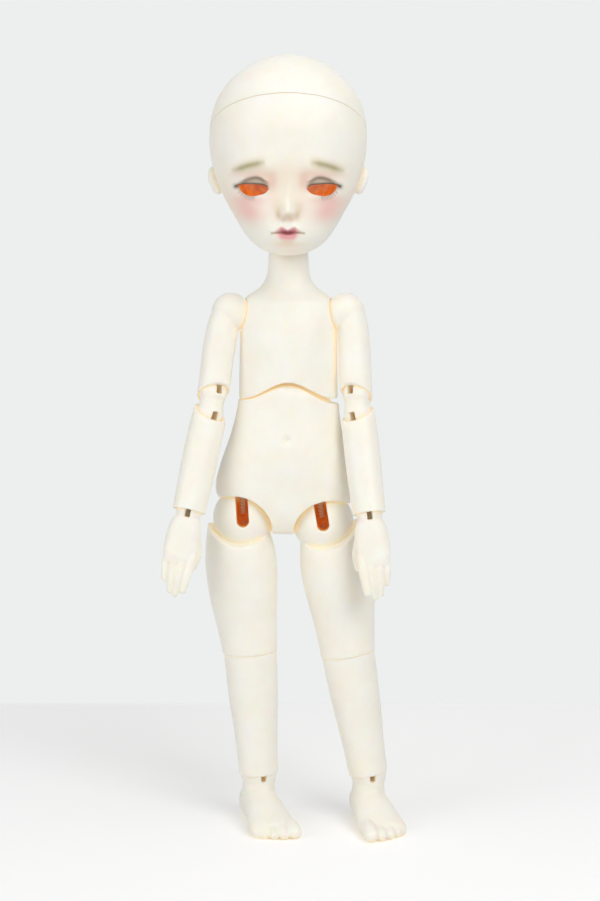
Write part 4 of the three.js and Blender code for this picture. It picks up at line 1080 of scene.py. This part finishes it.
studio = {
    "floor": "#F8F8F8", "grain": 0.002, "floorLift": 0.18, "back": 0.177, "width": 3.0,
    "room": "#EDEFEE", "roomTint": "#F6F6F6", "roomLight": 0.4,
    "panels": {  # where, towards what, how large and how strong
        "topPanel": ((0.1, -0.15, 1.0), (0, 0, 0.12), (1.0, 0.9), 2.4),
        "keyPanel": ((0.5, -0.8, 0.7), (0, 0, 0.13), (0.6, 0.6), 4.1),
        "fillPanel": ((-0.8, -0.6, 0.4), (0, 0, 0.12), (0.7, 0.8), 2.7)},
    "camera": (0.0054, -0.65, 0.20), "aim": (0.0054, 0, 0.1336), "lens": 74.2, "sensor": 36,
}


# painted board: an even, pale ground with a fine grain
def tableMaterial():
    material, tree, surface = newMaterial("paintedTable")
    # the camera sees it paler than the light makes it, with the shadow kept
    path = node(tree, "ShaderNodeLightPath").outputs["Is Camera Ray"]
    feed(tree, surface, Base_Color=tint(studio["floor"]), Roughness=0.6,
         Normal=bump(tree, 0.05, 0.0002, noise(tree, studio["grain"], 2.0)),
         Emission_Color=tint(studio["floor"]),
         Emission_Strength=calc(tree, "MULTIPLY", path, studio["floorLift"]))
    return material


def makeStage():
    lowest = cadBox[0][2]
    middle = studio["back"] - studio["width"] / 2
    bpy.ops.mesh.primitive_plane_add(size=studio["width"], location=(0, middle, lowest))
    floor = settle(bpy.context.active_object)
    floor.name = "floor"
    floor.data.materials.append(tableMaterial())


def panel(name, location, aim, size, power):
    bpy.ops.object.light_add(type="AREA", location=location)
    lamp = bpy.context.active_object
    lamp.name = name
    lamp.rotation_euler = (Vector(location) - Vector(aim)).to_track_quat("Z", "Y").to_euler()
    lamp.data.shape = "RECTANGLE"
    lamp.data.size, lamp.data.size_y = size
    lamp.data.energy = power


def makeLight():
    for name, values in studio["panels"].items():
        panel(name, *values)
    world = bpy.data.worlds.new("room")
    scene.world = world
    world.use_nodes = True
    tree = world.node_tree
    dim = feed(tree, tree.nodes["Background"], Color=tint(studio["roomTint"]), Strength=studio["roomLight"])
    # what the camera and mirrors see of the room is its wall colour
    seen = node(tree, "ShaderNodeBackground", Color=tint(studio["room"]), Strength=1.0)
    path = node(tree, "ShaderNodeLightPath").outputs
    mirrored = calc(tree, "MAXIMUM", path["Is Glossy Ray"], path["Is Transmission Ray"])
    direct = calc(tree, "MAXIMUM", path["Is Camera Ray"], mirrored)
    mix = node(tree, "ShaderNodeMixShader", i0=direct, i1=dim.outputs[0], i2=seen.outputs[0])
    feed(tree, tree.nodes["World Output"], Surface=mix.outputs[0])


def makeCamera():
    bpy.ops.object.camera_add(location=studio["camera"])
    camera = bpy.context.active_object
    look = Vector(studio["aim"]) - Vector(studio["camera"])
    camera.rotation_euler = look.to_track_quat("-Z", "Y").to_euler()
    camera.data.sensor_fit = "VERTICAL"
    camera.data.sensor_height = studio["sensor"]
    camera.data.lens = studio["lens"]
    camera.data.clip_start = 0.01
    scene.camera = camera


makeStage()
makeLight()
makeCamera()
scene.view_settings.view_transform = "Standard"
print("stage, light and camera set")
